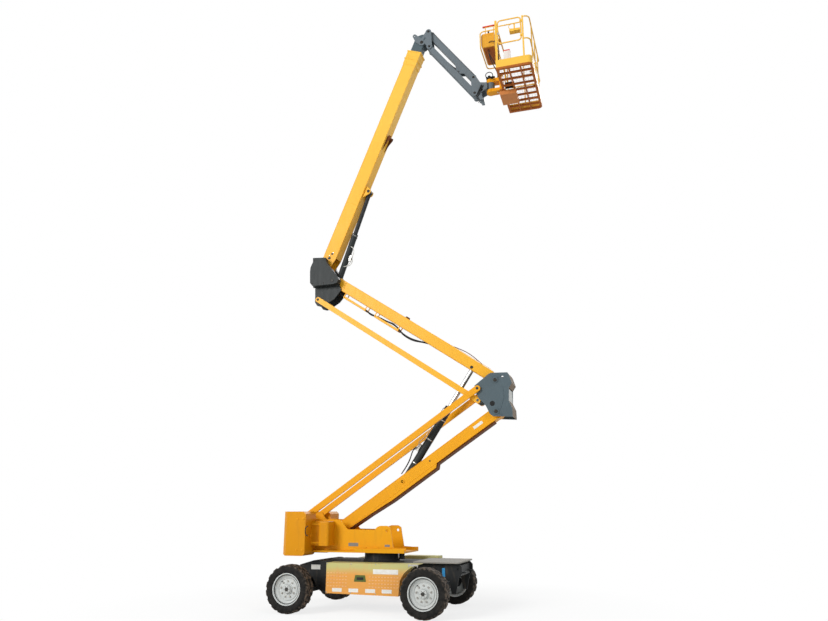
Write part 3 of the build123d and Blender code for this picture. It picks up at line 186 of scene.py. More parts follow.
def sprayed_enamel(name, colour, faded, roughness=0.34, dirt="#6B5A3C", dirt_share=0.25, low=None):
    """Two-part enamel sprayed on steel: a slow drift of tone, faint dust runs and orange peel.

    The peel's real cells are 2 mm; they are drawn 12 mm across so that they show. Low is
    (height, height, colour): the paint turns to that colour between the heights."""
    material, tree, out = empty_material(name)
    where = add_node(tree, "ShaderNodeTexCoord").outputs["Object"]
    drift = add_node(tree, "ShaderNodeTexNoise", None, {"Vector": where, "Scale": 1.7, "Detail": 3.0})
    tone = add_node(tree, "ShaderNodeMix", {"data_type": "RGBA"},
                    {0: drift.outputs[0], 6: linear(colour), 7: linear(faded)}).outputs[2]
    if low:
        height = add_node(tree, "ShaderNodeSeparateXYZ", None, {0: where}).outputs["Z"]
        uneven = add_node(tree, "ShaderNodeMath", {"operation": "MULTIPLY_ADD"},
                          {0: drift.outputs[0], 1: 0.12, 2: height})
        share = add_node(tree, "ShaderNodeMapRange", None,
                         {"Value": uneven.outputs[0], "From Min": low[0] + 0.06, "From Max": low[1] + 0.06})
        tone = add_node(tree, "ShaderNodeMix", {"data_type": "RGBA"},
                        {0: share.outputs[0], 6: linear(low[2]), 7: tone}).outputs[2]
    tall = add_node(tree, "ShaderNodeMapping", None, {"Vector": where, "Scale": (9.0, 9.0, 1.6)})
    runs = add_node(tree, "ShaderNodeTexNoise", None,
                    {"Vector": tall.outputs[0], "Scale": 2.2, "Detail": 6.0})
    share = add_node(tree, "ShaderNodeMapRange", None,
                     {"Value": runs.outputs[0], "From Min": 0.55, "From Max": 0.9, "To Max": dirt_share})
    soiled = add_node(tree, "ShaderNodeMix", {"data_type": "RGBA"},
                      {0: share.outputs[0], 6: tone, 7: linear(dirt)})
    peel = add_node(tree, "ShaderNodeTexNoise", None, {"Vector": where, "Scale": 85.0, "Detail": 2.0})
    bump = add_node(tree, "ShaderNodeBump", None,
                    {"Height": peel.outputs[0], "Strength": 0.08, "Distance": 0.002})
    gloss = add_node(tree, "ShaderNodeMapRange", None,
                     {"Value": runs.outputs[0], "To Min": roughness - 0.06, "To Max": roughness + 0.14})
    shader = add_node(tree, "ShaderNodeBsdfPrincipled", None,
                      {"Base Color": soiled.outputs[2], "Roughness": gloss.outputs[0],
                       "Specular IOR Level": 0.14, "Normal": bump.outputs[0]})
    tree.links.new(shader.outputs[0], out.inputs["Surface"])
    return material


def bare_metal(name, colour, smooth, rough):
    """Machined or plated steel: a mirror with a fine film of oil and dust that dulls it in patches.

    Its tool marks are hair-fine; they are drawn 2.5 mm apart so that they show."""
    material, tree, out = empty_material(name)
    where = add_node(tree, "ShaderNodeTexCoord").outputs["Object"]
    film = add_node(tree, "ShaderNodeTexNoise", None, {"Vector": where, "Scale": 30.0, "Detail": 3.0})
    sheen = add_node(tree, "ShaderNodeMapRange", None,
                     {"Value": film.outputs[0], "To Min": smooth, "To Max": rough})
    tint = add_node(tree, "ShaderNodeMix", {"data_type": "RGBA"},
                    {0: film.outputs[0], 6: linear(colour), 7: linear("#8F8C86")})
    scratches = add_node(tree, "ShaderNodeTexNoise", None, {"Vector": where, "Scale": 400.0, "Detail": 2.0})
    bump = add_node(tree, "ShaderNodeBump", None,
                    {"Height": scratches.outputs[0], "Strength": 0.05, "Distance": 0.001})
    shader = add_node(tree, "ShaderNodeBsdfPrincipled", None,
                      {"Base Color": tint.outputs[2], "Metallic": 1.0, "Roughness": sheen.outputs[0],
                       "Normal": bump.outputs[0]})
    tree.links.new(shader.outputs[0], out.inputs["Surface"])
    return material


def dress(material, *names):
    """Gives CAD nodes one material, in place of the plain one that they came with."""
    for name in names:
        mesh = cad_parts[name].data
        mesh.materials.clear()
        mesh.materials.append(material)


def grid_faces(rows, columns, around=False, along=False):
    """Quads over a grid of points, row by row; around joins the last column to the first, along the rows."""
    r = np.arange(rows if along else rows - 1)[:, None]
    c = np.arange(columns if around else columns - 1)[None, :]
    r2, c2 = (r + 1) % rows, (c + 1) % columns
    quads = np.stack([r * columns + c, r * columns + c2, r2 * columns + c2, r2 * columns + c], axis=-1)
    return quads.reshape(-1, 4).tolist()


def tube_faces(rows, columns):
    """Faces of a closed tube: quads round its rows, and one face over each end."""
    last = (rows - 1) * columns
    ends = [tuple(range(columns)), tuple(range(last, last + columns))]
    return grid_faces(rows, columns, around=True) + ends


def side_frame(origin, angle=0.0, across=0.0):
    """Frame of a beam seen from the side: its first axis runs along the angle, its second is Y, its third up.

    The point (a, b, c) in it lies at origin + a * (cos, 0, sin) + b * (0, 1, 0) + c * (-sin, 0, cos)."""
    c, s = math.cos(math.radians(angle)), math.sin(math.radians(angle))
    return np.array([(c, 0, s), (0, 1, 0), (-s, 0, c)]), np.array([origin[0], across, origin[1]])


def in_frame(frame_, points):
    """Points given in a frame's own axes, in the machine's."""
    axes, origin = frame_
    return np.array(points, float) @ axes + origin


upright = side_frame((0.0, 0.0))


def slab(centre, size, edge=0.003, frame_=upright):
    """Plate or block with chamfered edges: eight-cornered rings, the end ones drawn in by the chamfer."""
    half = np.array(size) / 2.0
    edge = min(edge, half.min() * 0.6)
    ring = np.array([(half[0], half[1] - edge), (half[0] - edge, half[1]), (edge - half[0], half[1]),
                     (-half[0], half[1] - edge), (-half[0], edge - half[1]), (edge - half[0], -half[1]),
                     (half[0] - edge, -half[1]), (half[0], edge - half[1])])
    inner = ring * (1.0 - edge / np.maximum(half[:2], 1e-6))
    heights = (-half[2], edge - half[2], half[2] - edge, half[2])
    points = np.concatenate([np.column_stack([r, np.full(8, h)])
                             for r, h in zip((inner, ring, ring, inner), heights)]) + np.array(centre)
    return in_frame(frame_, points), tube_faces(4, 8)


def turned(profile, centre, axis, steps=24):
    """Turned or hexagonal piece: a profile of (radius, distance along the axis) swept round the axis.

    A point at angle t is centre + axis * distance + radius * (u cos t + v sin t), with u and v square to
    the axis."""
    axis = np.array(axis, float) / np.linalg.norm(axis)
    u = np.cross(axis, (0.0, 0.0, 1.0) if abs(axis[2]) < 0.9 else (1.0, 0.0, 0.0))
    u = u / np.linalg.norm(u)
    v = np.cross(axis, u)
    t = np.arange(steps) * (2.0 * np.pi / steps)
    spokes = np.cos(t)[:, None] * u + np.sin(t)[:, None] * v
    profile = np.array(profile, float)
    points = np.array(centre) + profile[:, 1][:, None, None] * axis + profile[:, 0][:, None, None] * spokes
    return points.reshape(-1, 3), tube_faces(len(profile), steps)


def turned_ring(profile, centre, axis, steps):
    """Open ring: the same sweep, with the profile's last point joined to its first instead of end caps."""
    points, _ = turned(profile, centre, axis, steps)
    return points, grid_faces(len(profile), steps, around=True, along=True)


def bolt(centre, axis, size=0.012, height=0.010):
    """Bolt head on its washer; size is the head's radius."""
    return turned([(size * 1.35, -0.002), (size * 1.35, height * 0.2), (size, height * 0.2),
                   (size, height * 0.9), (size * 0.85, height)], centre, axis, 12)


def swept(path, radius, steps=10):
    """Hose, wire or rod: a circle carried along a line of points, square to the line at each.

    The circle's own axes come from the tangent and one fixed direction that the line never follows."""
    path = np.array(path, float)
    tangent = np.gradient(path, axis=0)
    tangent = tangent / np.linalg.norm(tangent, axis=1)[:, None]
    fixed = np.eye(3)[int(np.argmin(np.abs(tangent).max(axis=0)))]
    u = np.cross(tangent, fixed)
    u = u / np.linalg.norm(u, axis=1)[:, None]
    v = np.cross(tangent, u)
    t = np.arange(steps)[None, :, None] * (2.0 * np.pi / steps)
    points = path[:, None, :] + radius * (np.cos(t) * u[:, None, :] + np.sin(t) * v[:, None, :])
    return points.reshape(-1, 3), tube_faces(len(path), steps)


def eased(points, rounds=3):
    """Smooth line through a few guide points: corners cut at a quarter of each run, again and again."""
    line = np.array(points, float)
    for _ in range(rounds):
        cut = np.stack([0.75 * line[:-1] + 0.25 * line[1:], 0.25 * line[:-1] + 0.75 * line[1:]], axis=1)
        line = np.concatenate([line[:1], cut.reshape(-1, line.shape[1]), line[-1:]])
    return line


def outline_plate(outline, low, high, frame_):
    """Flat plate cut to an outline of (along, up) points, between two distances across."""
    outline = np.array(outline, float)
    count = len(outline)
    ring = [np.column_stack([outline[:, 0], np.full(count, y), outline[:, 1]]) for y in (low, high)]
    return in_frame(frame_, np.concatenate(ring)), tube_faces(2, count)


def piece(name, body, material, parts, sharp=30.0):
    """One finished piece from several closed shells: faces outwards, smooth but for edges past an angle."""
    starts = np.cumsum([0] + [len(points) for points, _ in parts]).tolist()
    points = np.concatenate([part[0] for part in parts])
    faces = [tuple(i + start for i in face) for (_, own), start in zip(parts, starts) for face in own]
    mesh = bpy.data.meshes.new(name)
    mesh.from_pydata(points.tolist(), [], faces)
    edit = bmesh.new()
    edit.from_mesh(mesh)
    bmesh.ops.recalc_face_normals(edit, faces=edit.faces)
    edit.to_mesh(mesh)
    edit.free()
    mesh.polygons.foreach_set("use_smooth", [True] * len(mesh.polygons))
    mesh.set_sharp_from_angle(angle=math.radians(sharp))
    mesh.materials.append(material)
    made = bpy.data.objects.new(name, mesh)
    bpy.context.scene.collection.objects.link(made)
    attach(made, body)
    return made


def moulded_tyre(centre, side, half, radius):
    """Tyre with its lugs as one surface over two parameters: t round the axle and s over the section.

    The bare section is a line of (radius, across) guide points, eased. A lug stands out of it by
    height(s) * pulse(phase), where phase = pairs * t / 2 pi + lean * |across|, half a step on for the far
    side. Below the shoulder the wall has fine ribs, 12 mm apart."""
    lug, pairs, shoulder, lean = 0.014, 17, 0.335, 0.62
    wall = [(0.238, -0.112), (0.262, -0.122), (0.300, 0.004 - half), (0.345, 0.001 - half),
            (0.378, 0.012 - half), (radius - lug, 0.030 - half)]
    line = eased(wall + [(radius - lug, 0.0)] + [(r, -y) for r, y in reversed(wall)], 2)
    slope = np.gradient(line, axis=0)
    normal = np.column_stack([slope[:, 1], -slope[:, 0]])
    normal = normal / np.linalg.norm(normal, axis=1)[:, None]
    turns = pairs * 20
    t = np.arange(turns) * (2.0 * np.pi / turns)
    r, y = line[:, :1], line[:, 1:]
    away = np.abs(y) / half
    phase = (pairs * t / (2.0 * np.pi) + np.where(y >= 0.0, 0.0, 0.5) + lean * away) % 1.0
    pulse = np.clip((0.33 - np.abs(phase - 0.5)) / 0.05, 0.0, 1.0)
    tread = np.clip((r - shoulder) / 0.03, 0.0, 1.0) * np.clip((away - 0.06) / 0.05, 0.0, 1.0)
    height = lug * tread * pulse
    ribs = 0.0015 * np.cos(r * 2.0 * np.pi / 0.012) * np.clip((shoulder - r) / 0.01, 0.0, 1.0)
    out_r = np.minimum(r + height * np.clip(normal[:, :1], 0.0, 1.0), radius - 0.0005)
    out_y = np.clip(y + (height * 0.5 + ribs) * normal[:, 1:], 0.0005 - half, half - 0.0005)
    points = np.stack([out_r * np.cos(t), side * out_y, out_r * np.sin(t)], axis=-1) + centre
    return points.reshape(-1, 3), grid_faces(len(line), turns, around=True, along=True)


def wheel_circle(centre, radius, count, start=0.0):
    """Points spaced evenly on a circle in a wheel's plane: centre + radius * (cos a, 0, sin a)."""
    a = np.arange(count) * (2.0 * np.pi / count) + start
    return np.array(centre) + radius * np.column_stack([np.cos(a), 0.0 * a, np.sin(a)])


# Filled tyre rubber: nearly black and matte, greyed by dust, with dried earth and a painted highlight on the
# lit tread.
filled_rubber = moulded_rubber("filled_rubber", "#141413", "#2B2825", 0.8, tread_dust_and_highlight="#7D6E60")
# Pale grey enamel on pressed steel: a soft sheen under brown road dust.
rim_enamel = sprayed_enamel("pale_rim_enamel", "#D2D4D1", "#BCBFBC", 0.38, dirt="#6E675C", dirt_share=0.5)
# Black enamel on the cast hubs, dulled by the same dust.
hub_enamel = sprayed_enamel("dark_hub_enamel", "#3B3A38", "#4A4743", 0.4, dirt="#7A6A55", dirt_share=0.4)
# Zinc plate on nuts and fittings: a soft silver-grey mirror.
plated_steel = bare_metal("zinc_plated_steel", "#C7C6C0", 0.25, 0.45)
rim_face, nut_circle, cap_circle, stem_circle = 1.1625, 0.132, 0.049, 0.168
for place in ("front_left", "front_right", "rear_left", "rear_right"):
    side = 1 if place.endswith("left") else -1
    wheel = "wheel_" + place
    low, high = np.array(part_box("tyre_" + place))
    centre = (low + high) / 2.0
    tyre = piece("moulded_tyre_" + place, wheel, filled_rubber,
                 [moulded_tyre(centre, side, (high[1] - low[1]) / 2.0, (high[2] - low[2]) / 2.0)], 40)
    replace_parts(tyre, "tyre_" + place)
    face = np.array([centre[0], side * rim_face, centre[2]])
    outward = np.array([0.0, side, 0.0])
    nuts = [bolt(spot, outward, 0.0135, 0.017) for spot in wheel_circle(face, nut_circle, 9, 0.2)]
    piece("wheel_nuts_" + place, wheel, plated_steel, nuts)
    lip = [(0.236, 0.006), (0.246, 0.012), (0.250, 0.020), (0.244, 0.024), (0.236, 0.020), (0.232, 0.010)]
    dish = [(0.190, -0.004), (0.190, 0.006), (0.184, 0.008), (0.178, 0.004), (0.178, -0.004)]
    boss = [(0.092, -0.003), (0.092, 0.010), (0.088, 0.014), (0.080, 0.012), (0.080, -0.003)]
    rings = [turned_ring(lip, face + outward * 0.014, outward, 64), turned_ring(dish, face, outward, 48),
             turned_ring(boss, face, outward, 40)]
    piece("rim_rings_" + place, wheel, rim_enamel, rings, 40)
    nose = [turned([(0.034, 0.056), (0.034, 0.0595), (0.030, 0.0615), (0.012, 0.0615), (0.010, 0.058),
                    (0.0, 0.058)], face, outward, 24)]
    nose += [bolt(spot, outward, 0.006, 0.006)
             for spot in wheel_circle(face + outward * 0.050, cap_circle, 6)]
    piece("hub_nose_" + place, wheel, hub_enamel, nose)
    stem = turned([(0.008, 0.0), (0.007, 0.020), (0.005, 0.024), (0.005, 0.040), (0.0, 0.041)],
                  wheel_circle(face, stem_circle, 1, 2.3)[0], outward, 10)
    piece("valve_stem_" + place, wheel, filled_rubber, [stem])
    dress(rim_enamel, "rim_" + place)

# ---- Chassis
# A welded box frame with a rigid rear axle and a steered front axle, sprayed near-black.
# Pressed steel covers close the sides, and a pale deck plate lies over the front axle.

# Near-black enamel on the frame and axles, brown with ground dust.
frame_enamel = sprayed_enamel("black_frame_enamel", "#232425", "#2E2F2F", 0.42, dirt="#7A6A55",
                              dirt_share=0.4)
dress(frame_enamel, "chassis_frame", "rear_axle", "front_axle", "tie_down_lugs", "track_rod", "knuckle_left",
      "knuckle_right", "slew_ring", "slew_motor", "engine_block")
# Cream enamel on the side covers: sun-bleached above, stained orange towards the ground.
cover_enamel = sprayed_enamel("side_cover_enamel", "#BDBF84", "#C9BB74", 0.42, dirt="#E58A5A",
                              dirt_share=0.45, low=(0.66, 0.80, "#E2A050"))
dress(cover_enamel, "chassis_side_covers")
# Grey deck enamel, scuffed dull by boots.
deck_enamel = sprayed_enamel("deck_enamel", "#96928A", "#87837A", 0.5)
dress(deck_enamel, "front_deck")
# Vinyl label stock, left blank: smooth white, and one in sky blue.
label_stock = moulded_rubber("blank_label_stock", "#E9E8E2", "#DCD9CF", 0.35, 90.0)
blue_stock = moulded_rubber("blue_label_stock", "#3C8FC4", "#3585B8", 0.35, 90.0)
# An olive anodised data plate, left bare, with a dull sheen.
plate_stock = sprayed_enamel("anodised_plate", "#5D6B3A", "#56642F", 0.4)
# Hose covers: black rubber over braid, and a pale sleeve.
braided_hose = moulded_rubber("braided_hose_rubber", "#1A1A1B", "#2D2B29", 0.5, 320.0)
white_hose_stock = moulded_rubber("pale_hose_sleeve", "#DCDAD2", "#C5C0B4", 0.45, 320.0)
# Sandy enamel on the pressed treads, worn paler than the cover behind them.
step_enamel = sprayed_enamel("pressed_step_enamel", "#F0C58E", "#E8B67C", 0.4, dirt="#E07F58", dirt_share=0.3)

cover_y, label_edge = 0.931, 0.0008
tread_rows = (0.470, 0.525, 0.580, 0.635)
sides = ((-1, "near"), (1, "far"))
for side, word in sides:
    outward = (0, side, 0)
    spots = [(x, z) for z in (*tread_rows, 0.690) for x in np.arange(-0.690, -0.330, 0.058)]
    spots += [(x, z) for z in tread_rows for x in np.arange(0.110, 0.640, 0.058)]
    steps = [slab((x, side * (cover_y + 0.001), z), (0.034, 0.008, 0.014)) for x, z in spots]
    piece("pressed_steps_" + word, "chassis", step_enamel, steps)
    label_y = side * (cover_y + 0.0005)
    marks = [slab((x, label_y, 0.405), (0.185, 0.002, 0.062), label_edge)
             for x in (-0.512, -0.195, 0.122, 0.432)]
    marks += [slab((0.405, label_y, 0.727), (0.469, 0.002, 0.080), label_edge),
              slab((-1.155, side * 0.4312, 0.742), (0.22, 0.002, 0.085), label_edge)]
    piece("blank_labels_" + word, "chassis", label_stock, marks)
    data_plate = outline_plate([(-0.188, 0.552), (0.043, 0.552), (0.020, 0.663), (-0.165, 0.663)],
                               *sorted((side * cover_y, side * (cover_y + 0.003))), upright)
    piece("blank_plate_" + word, "chassis", plate_stock, [data_plate])
    piece("plate_window_" + word, "chassis", braided_hose,
          [slab((-0.072, side * (cover_y + 0.003), 0.605), (0.130, 0.002, 0.046), label_edge)])
    strip = [bolt((x, side * cover_y, 0.822), outward, 0.008, 0.007) for x in (0.835, 0.915, 0.995)]
    strip += [bolt((x, side * cover_y, z), outward, 0.008, 0.007)
              for x in (-0.715, -0.25, 0.22) for z in (0.845, 0.365)]
    strip.append(slab((0.914, label_y, 0.846), (0.183, 0.003, 0.026), 0.001))
    piece("cover_bolts_" + word, "chassis", plated_steel, strip)
    piece("blue_label_" + word, "chassis", blue_stock,
          [slab((1.336, side * 0.4512, 0.705), (0.054, 0.002, 0.149), label_edge)])

# ---- Turntable
# A plate weldment that turns on the slew ring, with an iron counterweight at its tail.
# The plates are flame cut and folded, and pins, lugs and covers are bolted on.

# Chrome-yellow enamel: warm and a little dull on the turntable, and a paler coat on each stage above it.
yellow = sprayed_enamel("chrome_yellow_enamel", "#ECA612", "#E2980E", 0.32, dirt="#8A5A1E", dirt_share=0.22)
deep_yellow = sprayed_enamel("deep_chrome_yellow_enamel", "#DC940A", "#CF8708", 0.32, dirt="#84521A",
                             dirt_share=0.25)
mid_yellow = sprayed_enamel("mid_chrome_yellow_enamel", "#EDB02E", "#E9A824", 0.3, dirt="#B98228",
                            dirt_share=0.15)
bright_yellow = sprayed_enamel("pale_chrome_yellow_enamel", "#EFBE50", "#ECB645", 0.3, dirt="#C8943A",
                               dirt_share=0.12, low=(7.2, 10.6, "#ECAA22"))
dress(yellow, "turntable_frame")
dress(deep_yellow, "counterweight", "counterweight_wings", "hood_box", "engine_hood")
# Oil-blackened pins: nearly black, with a low sheen and brown dust.
pin_steel = sprayed_enamel("blackened_pin_steel", "#2A2927", "#3A3733", 0.35, dirt="#6E5C3C", dirt_share=0.3)
# Matte black: painted shade in slots and holes, so that they read as openings; the rotator's valve block is
# drawn in it too.
shadow_black = moulded_rubber("matte_black_and_hole_shade", "#141414", "#22201E", 0.6)
# A bare rating plate of dull grey steel, nothing on it.
grey_plate = sprayed_enamel("plain_steel_plate", "#8D8A84", "#7C7973", 0.4)


def pin_ends(name, body, side, out, spots, frame_=upright, depth=0.010, extras=()):
    """Pin ends on one side of a weldment, at (along, up, radius) spots a distance out from its middle.

    Each stands out of its plate by the depth, with a grease nipple sunk in its middle."""
    heads = []
    for along, up, radius in spots:
        profile = [(radius, -0.004), (radius, depth - 0.003), (radius * 0.85, depth), (radius * 0.35, depth),
                   (radius * 0.30, depth - 0.003), (0.0, depth - 0.003)]
        heads.append(turned(profile, in_frame(frame_, [(along, side * out, up)])[0], (0.0, side, 0.0), 24))
    piece(name, body, pin_steel, heads + list(extras))


def keeper_plate(centre, side, angle, length=0.085):
    """Lock plate beside a pin, held by two bolts, lying at an angle in the side view."""
    frame_ = side_frame((centre[0], centre[2]), angle, centre[1])
    bolts = [bolt(in_frame(frame_, [(a, side * 0.004, 0.0)])[0], (0.0, side, 0.0), 0.008, 0.008)
             for a in (-length * 0.3, length * 0.3)]
    return [slab((0.0, side * 0.002, 0.0), (length, 0.006, 0.028), 0.002, frame_)] + bolts


handle_y = -0.793
handle = eased([(x, handle_y + inward, z) for x, inward, z in (
    (-1.191, 0.004, 1.311), (-1.191, 0.004, 1.311), (-1.236, -0.006, 1.330), (-1.246, -0.006, 1.400),
    (-1.236, -0.006, 1.470), (-1.191, 0.004, 1.489), (-1.191, 0.004, 1.489))])
web_y, wing_y = 0.335, 0.790
for side, word in sides:
    piece("lifting_handle_" + word, "turntable", pin_steel,
          [swept(handle * np.array([1.0, -side, 1.0]), 0.008)], 50)
    screws = [bolt((x, side * web_y, z), (0, side, 0), 0.011, 0.009)
              for x, z in ((-0.20, 1.10), (0.05, 1.10), (0.30, 1.10), (0.52, 1.045))]
    screws += [bolt((x, side * wing_y, z), (0, side, 0), 0.016, 0.012)
               for x in (-1.42, -1.30) for z in (1.06, 1.62)]
    piece("turntable_bolts_" + word, "turntable", yellow, screws)
seam_runs = [[(-1.20, -0.336, 1.052), (0.30, -0.336, 1.052)], [(0.345, -0.336, 1.10), (0.585, -0.336, 1.094)]]
ripple = 0.0008 * np.sin(np.arange(30)[:, None] * 2.1)
piece("turntable_weld_beads", "turntable", yellow,
      [swept(np.linspace(start, end, 30) + ripple, 0.005, 8) for start, end in seam_runs], 60)
piece("nameplate_blank", "turntable", grey_plate,
      [slab((-0.455, -0.3358, 1.150), (0.200, 0.002, 0.062), label_edge),
       slab((0.225, -0.3358, 1.135), (0.100, 0.002, 0.040), label_edge)])
box_face = -0.6225
beads = [slab((x, box_face, 1.320), (0.016, 0.006, 0.060), 0.002) for x in (-1.21, -0.89)]
beads += [slab((-1.05, box_face, z), (0.30, 0.004, 0.010), 0.001) for z in (1.185, 1.520)]
piece("hood_box_beads", "turntable", yellow, beads)
# Black slots on the hood: painted shade standing for the louvres' openings.
slots = [slab((-0.76 + dx, 0.7858, 1.20 + dz), (0.10, 0.004, 0.012), 0.0015)
         for dx in (-0.28, -0.14, 0.0, 0.14, 0.28) for dz in np.arange(5) * 0.032]
piece("hood_louvres", "engine_hood", shadow_black, slots)
piece("hood_latch", "engine_hood", plated_steel,
      [slab((-0.76, 0.789, 1.10), (0.07, 0.012, 0.045), 0.004)])

# ---- Tower
# Two box-section arms and two pairs of tie bars, which keep the grey knuckle weldments upright.
# The arms are sprayed yellow; hose trays of formed plate hang below them on brackets.

# Slate-grey enamel on the knuckles: a cold, even grey, nearly black on the upper knuckle and the barrels.
slate = sprayed_enamel("slate_grey_enamel", "#556369", "#4B575C", 0.4, dirt="#2A2B2B", dirt_share=0.3)
dark_slate = sprayed_enamel("dark_slate_enamel", "#303434", "#292C2C", 0.42, dirt="#222222", dirt_share=0.3)
dress(yellow, "lower_arm", "lower_tie_links")
dress(mid_yellow, "upper_arm", "upper_tie_links", "upper_hose_tray")
dress(slate, "mid_knuckle")
dress(dark_slate, "top_knuckle", "top_knuckle_covers", "tower_cylinder_barrel")
# Red-brown primer left on trays and brackets: flat and dark.
tray_brown = sprayed_enamel("tray_primer", "#6A3B18", "#5C3214", 0.55)
dress(tray_brown, "lower_hose_tray")
# Plates that face the ground: brown primer, matte, with a painted bounce light from the ground on it.
bounce_lit_closer_enamel = sprayed_enamel("primer_bounce_lit_closing_plate_enamel", "#8A7A68", "#6E5B48", 0.5, dirt="#8E5A2A",
                               dirt_share=0.5)
# White enamel on the knuckle's cover: clean, with a soft sheen.
white_cover = sprayed_enamel("white_cover_enamel", "#D9DAD6", "#CFD0CB", 0.4)
dress(white_cover, "knuckle_cover")
# Hard chrome, ground smooth: a bright mirror with a faint film of oil.
rod_chrome = bare_metal("hard_chromed_rod", "#D8DADB", 0.12, 0.3)
dress(rod_chrome, "tower_cylinder_rod")


def weld_bead(frame_, start, end, up, y, points=60):
    """Weld bead along a beam's seam: a rod whose height at point i is up + 0.0006 sin(2 i), as it ripples."""
    line = np.column_stack([np.linspace(start, end, points), np.full(points, y),
                            up + 0.0006 * np.sin(np.arange(points) * 2.0)])
    return swept(in_frame(frame_, line), 0.0035, 8)


def hose_piece(name, body, material, runs, radius, frame_=upright):
    """Hoses or steel lines of one piece, each carried along an eased line of guide points."""
    piece(name, body, material, [swept(in_frame(frame_, eased(run)), radius) for run in runs], 50)


arm = side_frame((-1.1, 1.24), 34.1)
upper = side_frame((-1.1, 6.4988), -34.1)
arm_y, tie_y, upper_tie_y, boss_y, knuckle_y, head_y = 0.125, 0.305, 0.220, 0.257, 0.245, 0.300
for side, word in sides:
    seam = side * (arm_y + 0.001)
    pin_ends("lower_arm_pins_" + word, "lower_arm", side, arm_y,
             [(1.878, 0.017, 0.030), (2.55, 0.02, 0.014)], arm)
    piece("lower_arm_weld_beads_" + word, "lower_arm", yellow,
          [weld_bead(arm, 0.35, 3.95, up, seam) for up in (0.108, -0.091)], 60)
    beads = [weld_bead(upper, 0.30, 3.95, up, seam) for up in (0.143, -0.063)]
    cross_seam = np.linspace((0.227, seam, 0.143), (0.267, seam, -0.063), 20)
    beads.append(swept(in_frame(upper, cross_seam), 0.004, 8))
    piece("upper_arm_weld_beads_" + word, "upper_arm", mid_yellow, beads, 60)
    pin_ends("upper_arm_pins_" + word, "upper_arm", side, arm_y, [(3.594, -0.021, 0.030)], upper)
    pin_ends("lower_tie_pins_" + word, "lower_tie_links", side, tie_y,
             [(-1.44, 1.686, 0.024), (2.0006, 4.0154, 0.024)])
    pin_ends("upper_tie_pins_" + word, "upper_tie_links", side, upper_tie_y, [(-1.455, 6.1288, 0.026)])
    pin_ends("mid_knuckle_pins_" + word, "mid_knuckle", side, boss_y,
             [(2.3406, 3.5694, 0.036), (2.3406, 4.1694, 0.036)])
    plates = keeper_plate((2.42, side * knuckle_y, 3.515), side, -35.0)
    plates += keeper_plate((2.42, side * knuckle_y, 4.225), side, 35.0)
    piece("mid_knuckle_keepers_" + word, "mid_knuckle", slate, plates)
    cover_screws = [bolt((x, side * head_y, z), (0, side, 0), 0.011, 0.008)
                    for x, z in ((-1.54, 7.00), (-1.31, 6.99), (-1.57, 6.48), (-1.30, 6.47))]
    pin_ends("top_knuckle_pins_" + word, "top_knuckle", side, head_y, [(-1.1, 6.4988, 0.034)],
             extras=cover_screws)

# Dark discs on the knuckle's plates: painted shade standing for its access holes.
holes = [turned([(0.048, -0.004), (0.048, 0.003), (0.040, 0.0035), (0.036, 0.0005), (0.0, 0.0005)],
                (2.275, side * knuckle_y, 3.720), (0, side, 0), 28) for side in (-1, 1)]
piece("mid_knuckle_access_holes", "mid_knuckle", shadow_black, holes)
arc = ((2.49, 4.04), (2.50, 3.92), (2.497, 3.80), (2.45, 3.65), (2.36, 3.51))
piece("mid_knuckle_weld_arcs", "mid_knuckle", slate,
      [swept(eased([(x, side * (knuckle_y + 0.0005), z) for x, z in arc]), 0.004, 8) for side in (-1, 1)], 60)
# Closing plates between the knuckle's side plates, in that primer brown with its painted bounce light.
closers = []
upper_edge = ((2.583, 4.303), (2.609, 4.254), (2.660, 4.098), (2.602, 4.008))
lower_edge = ((2.592, 3.756), (2.650, 3.625), (2.653, 3.458))
for edge in (upper_edge, lower_edge):
    for start, end in zip(edge, edge[1:]):
        run, rise = end[0] - start[0], end[1] - start[1]
        length = math.hypot(run, rise)
        closers.append(slab((length / 2.0, 0.0, -0.005), (length, 0.452, 0.006), 0.002,
                            side_frame(start, math.degrees(math.atan2(rise, run)))))
piece("mid_knuckle_closing_plates", "mid_knuckle", bounce_lit_closer_enamel, closers)
piece("lower_arm_label", "lower_arm", label_stock,
      [slab((0, 0, 0), (0.21, 0.002, 0.055), label_edge, (arm[0], np.array([1.963, -0.1258, 3.339])))])

rails = []
for start, end, up in ((0.330, 0.945, -0.155), (1.190, 1.828, -0.160)):
    middle, length = (start + end) / 2, end - start
    rails += [slab((middle, y, up), (length, 0.006, 0.045), 0.002, upper) for y in (-0.074, 0.074)]
    rails.append(slab((middle, 0.0, up - 0.0215), (length, 0.150, 0.005), 0.002, upper))
    rails += [slab((x, y, (up - 0.066) / 2.0), (0.024, 0.006, -0.066 - up + 0.03), 0.002, upper)
              for x in (start + 0.012, end - 0.012) for y in (-0.086, 0.086)]
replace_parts(piece("upper_hose_trays", "upper_arm", mid_yellow, rails), "upper_hose_tray")
strands = [[(0.06, y, -0.120 + lift), (0.20, y, -0.150 + lift), (0.34, y, -0.150 + lift),
            (0.65, y, -0.148 + lift), (0.94, y, -0.150 + lift), (1.06, y, -0.165 - drop),
            (1.19, y, -0.150 + lift), (1.36, y, -0.128 + lift), (1.50, y, -0.115 - lift),
            (1.66, y, -0.085 - drop), (1.78, y, -0.125 + lift), (1.92, y, -0.160 - drop),
            (2.08, y, -0.168 - drop), (2.22, y, -0.150 - drop), (2.36, y, -0.112 + lift),
            (2.47, y, -0.074), (2.52, y, -0.060)]
           for y, lift, drop in ((-0.045, 0.0, 0.0), (-0.018, 0.006, 0.010), (0.012, -0.004, 0.020),
                                 (0.040, 0.004, 0.006))]
hose_piece("upper_arm_hoses", "upper_arm", braided_hose, strands, 0.011, upper)
piece("upper_arm_top_box", "upper_arm", tray_brown,
      [slab((1.862, -0.07, 0.166), (0.080, 0.060, 0.034), 0.005, upper),
       slab((1.862, -0.07, 0.152), (0.120, 0.080, 0.006), 0.002, upper)])
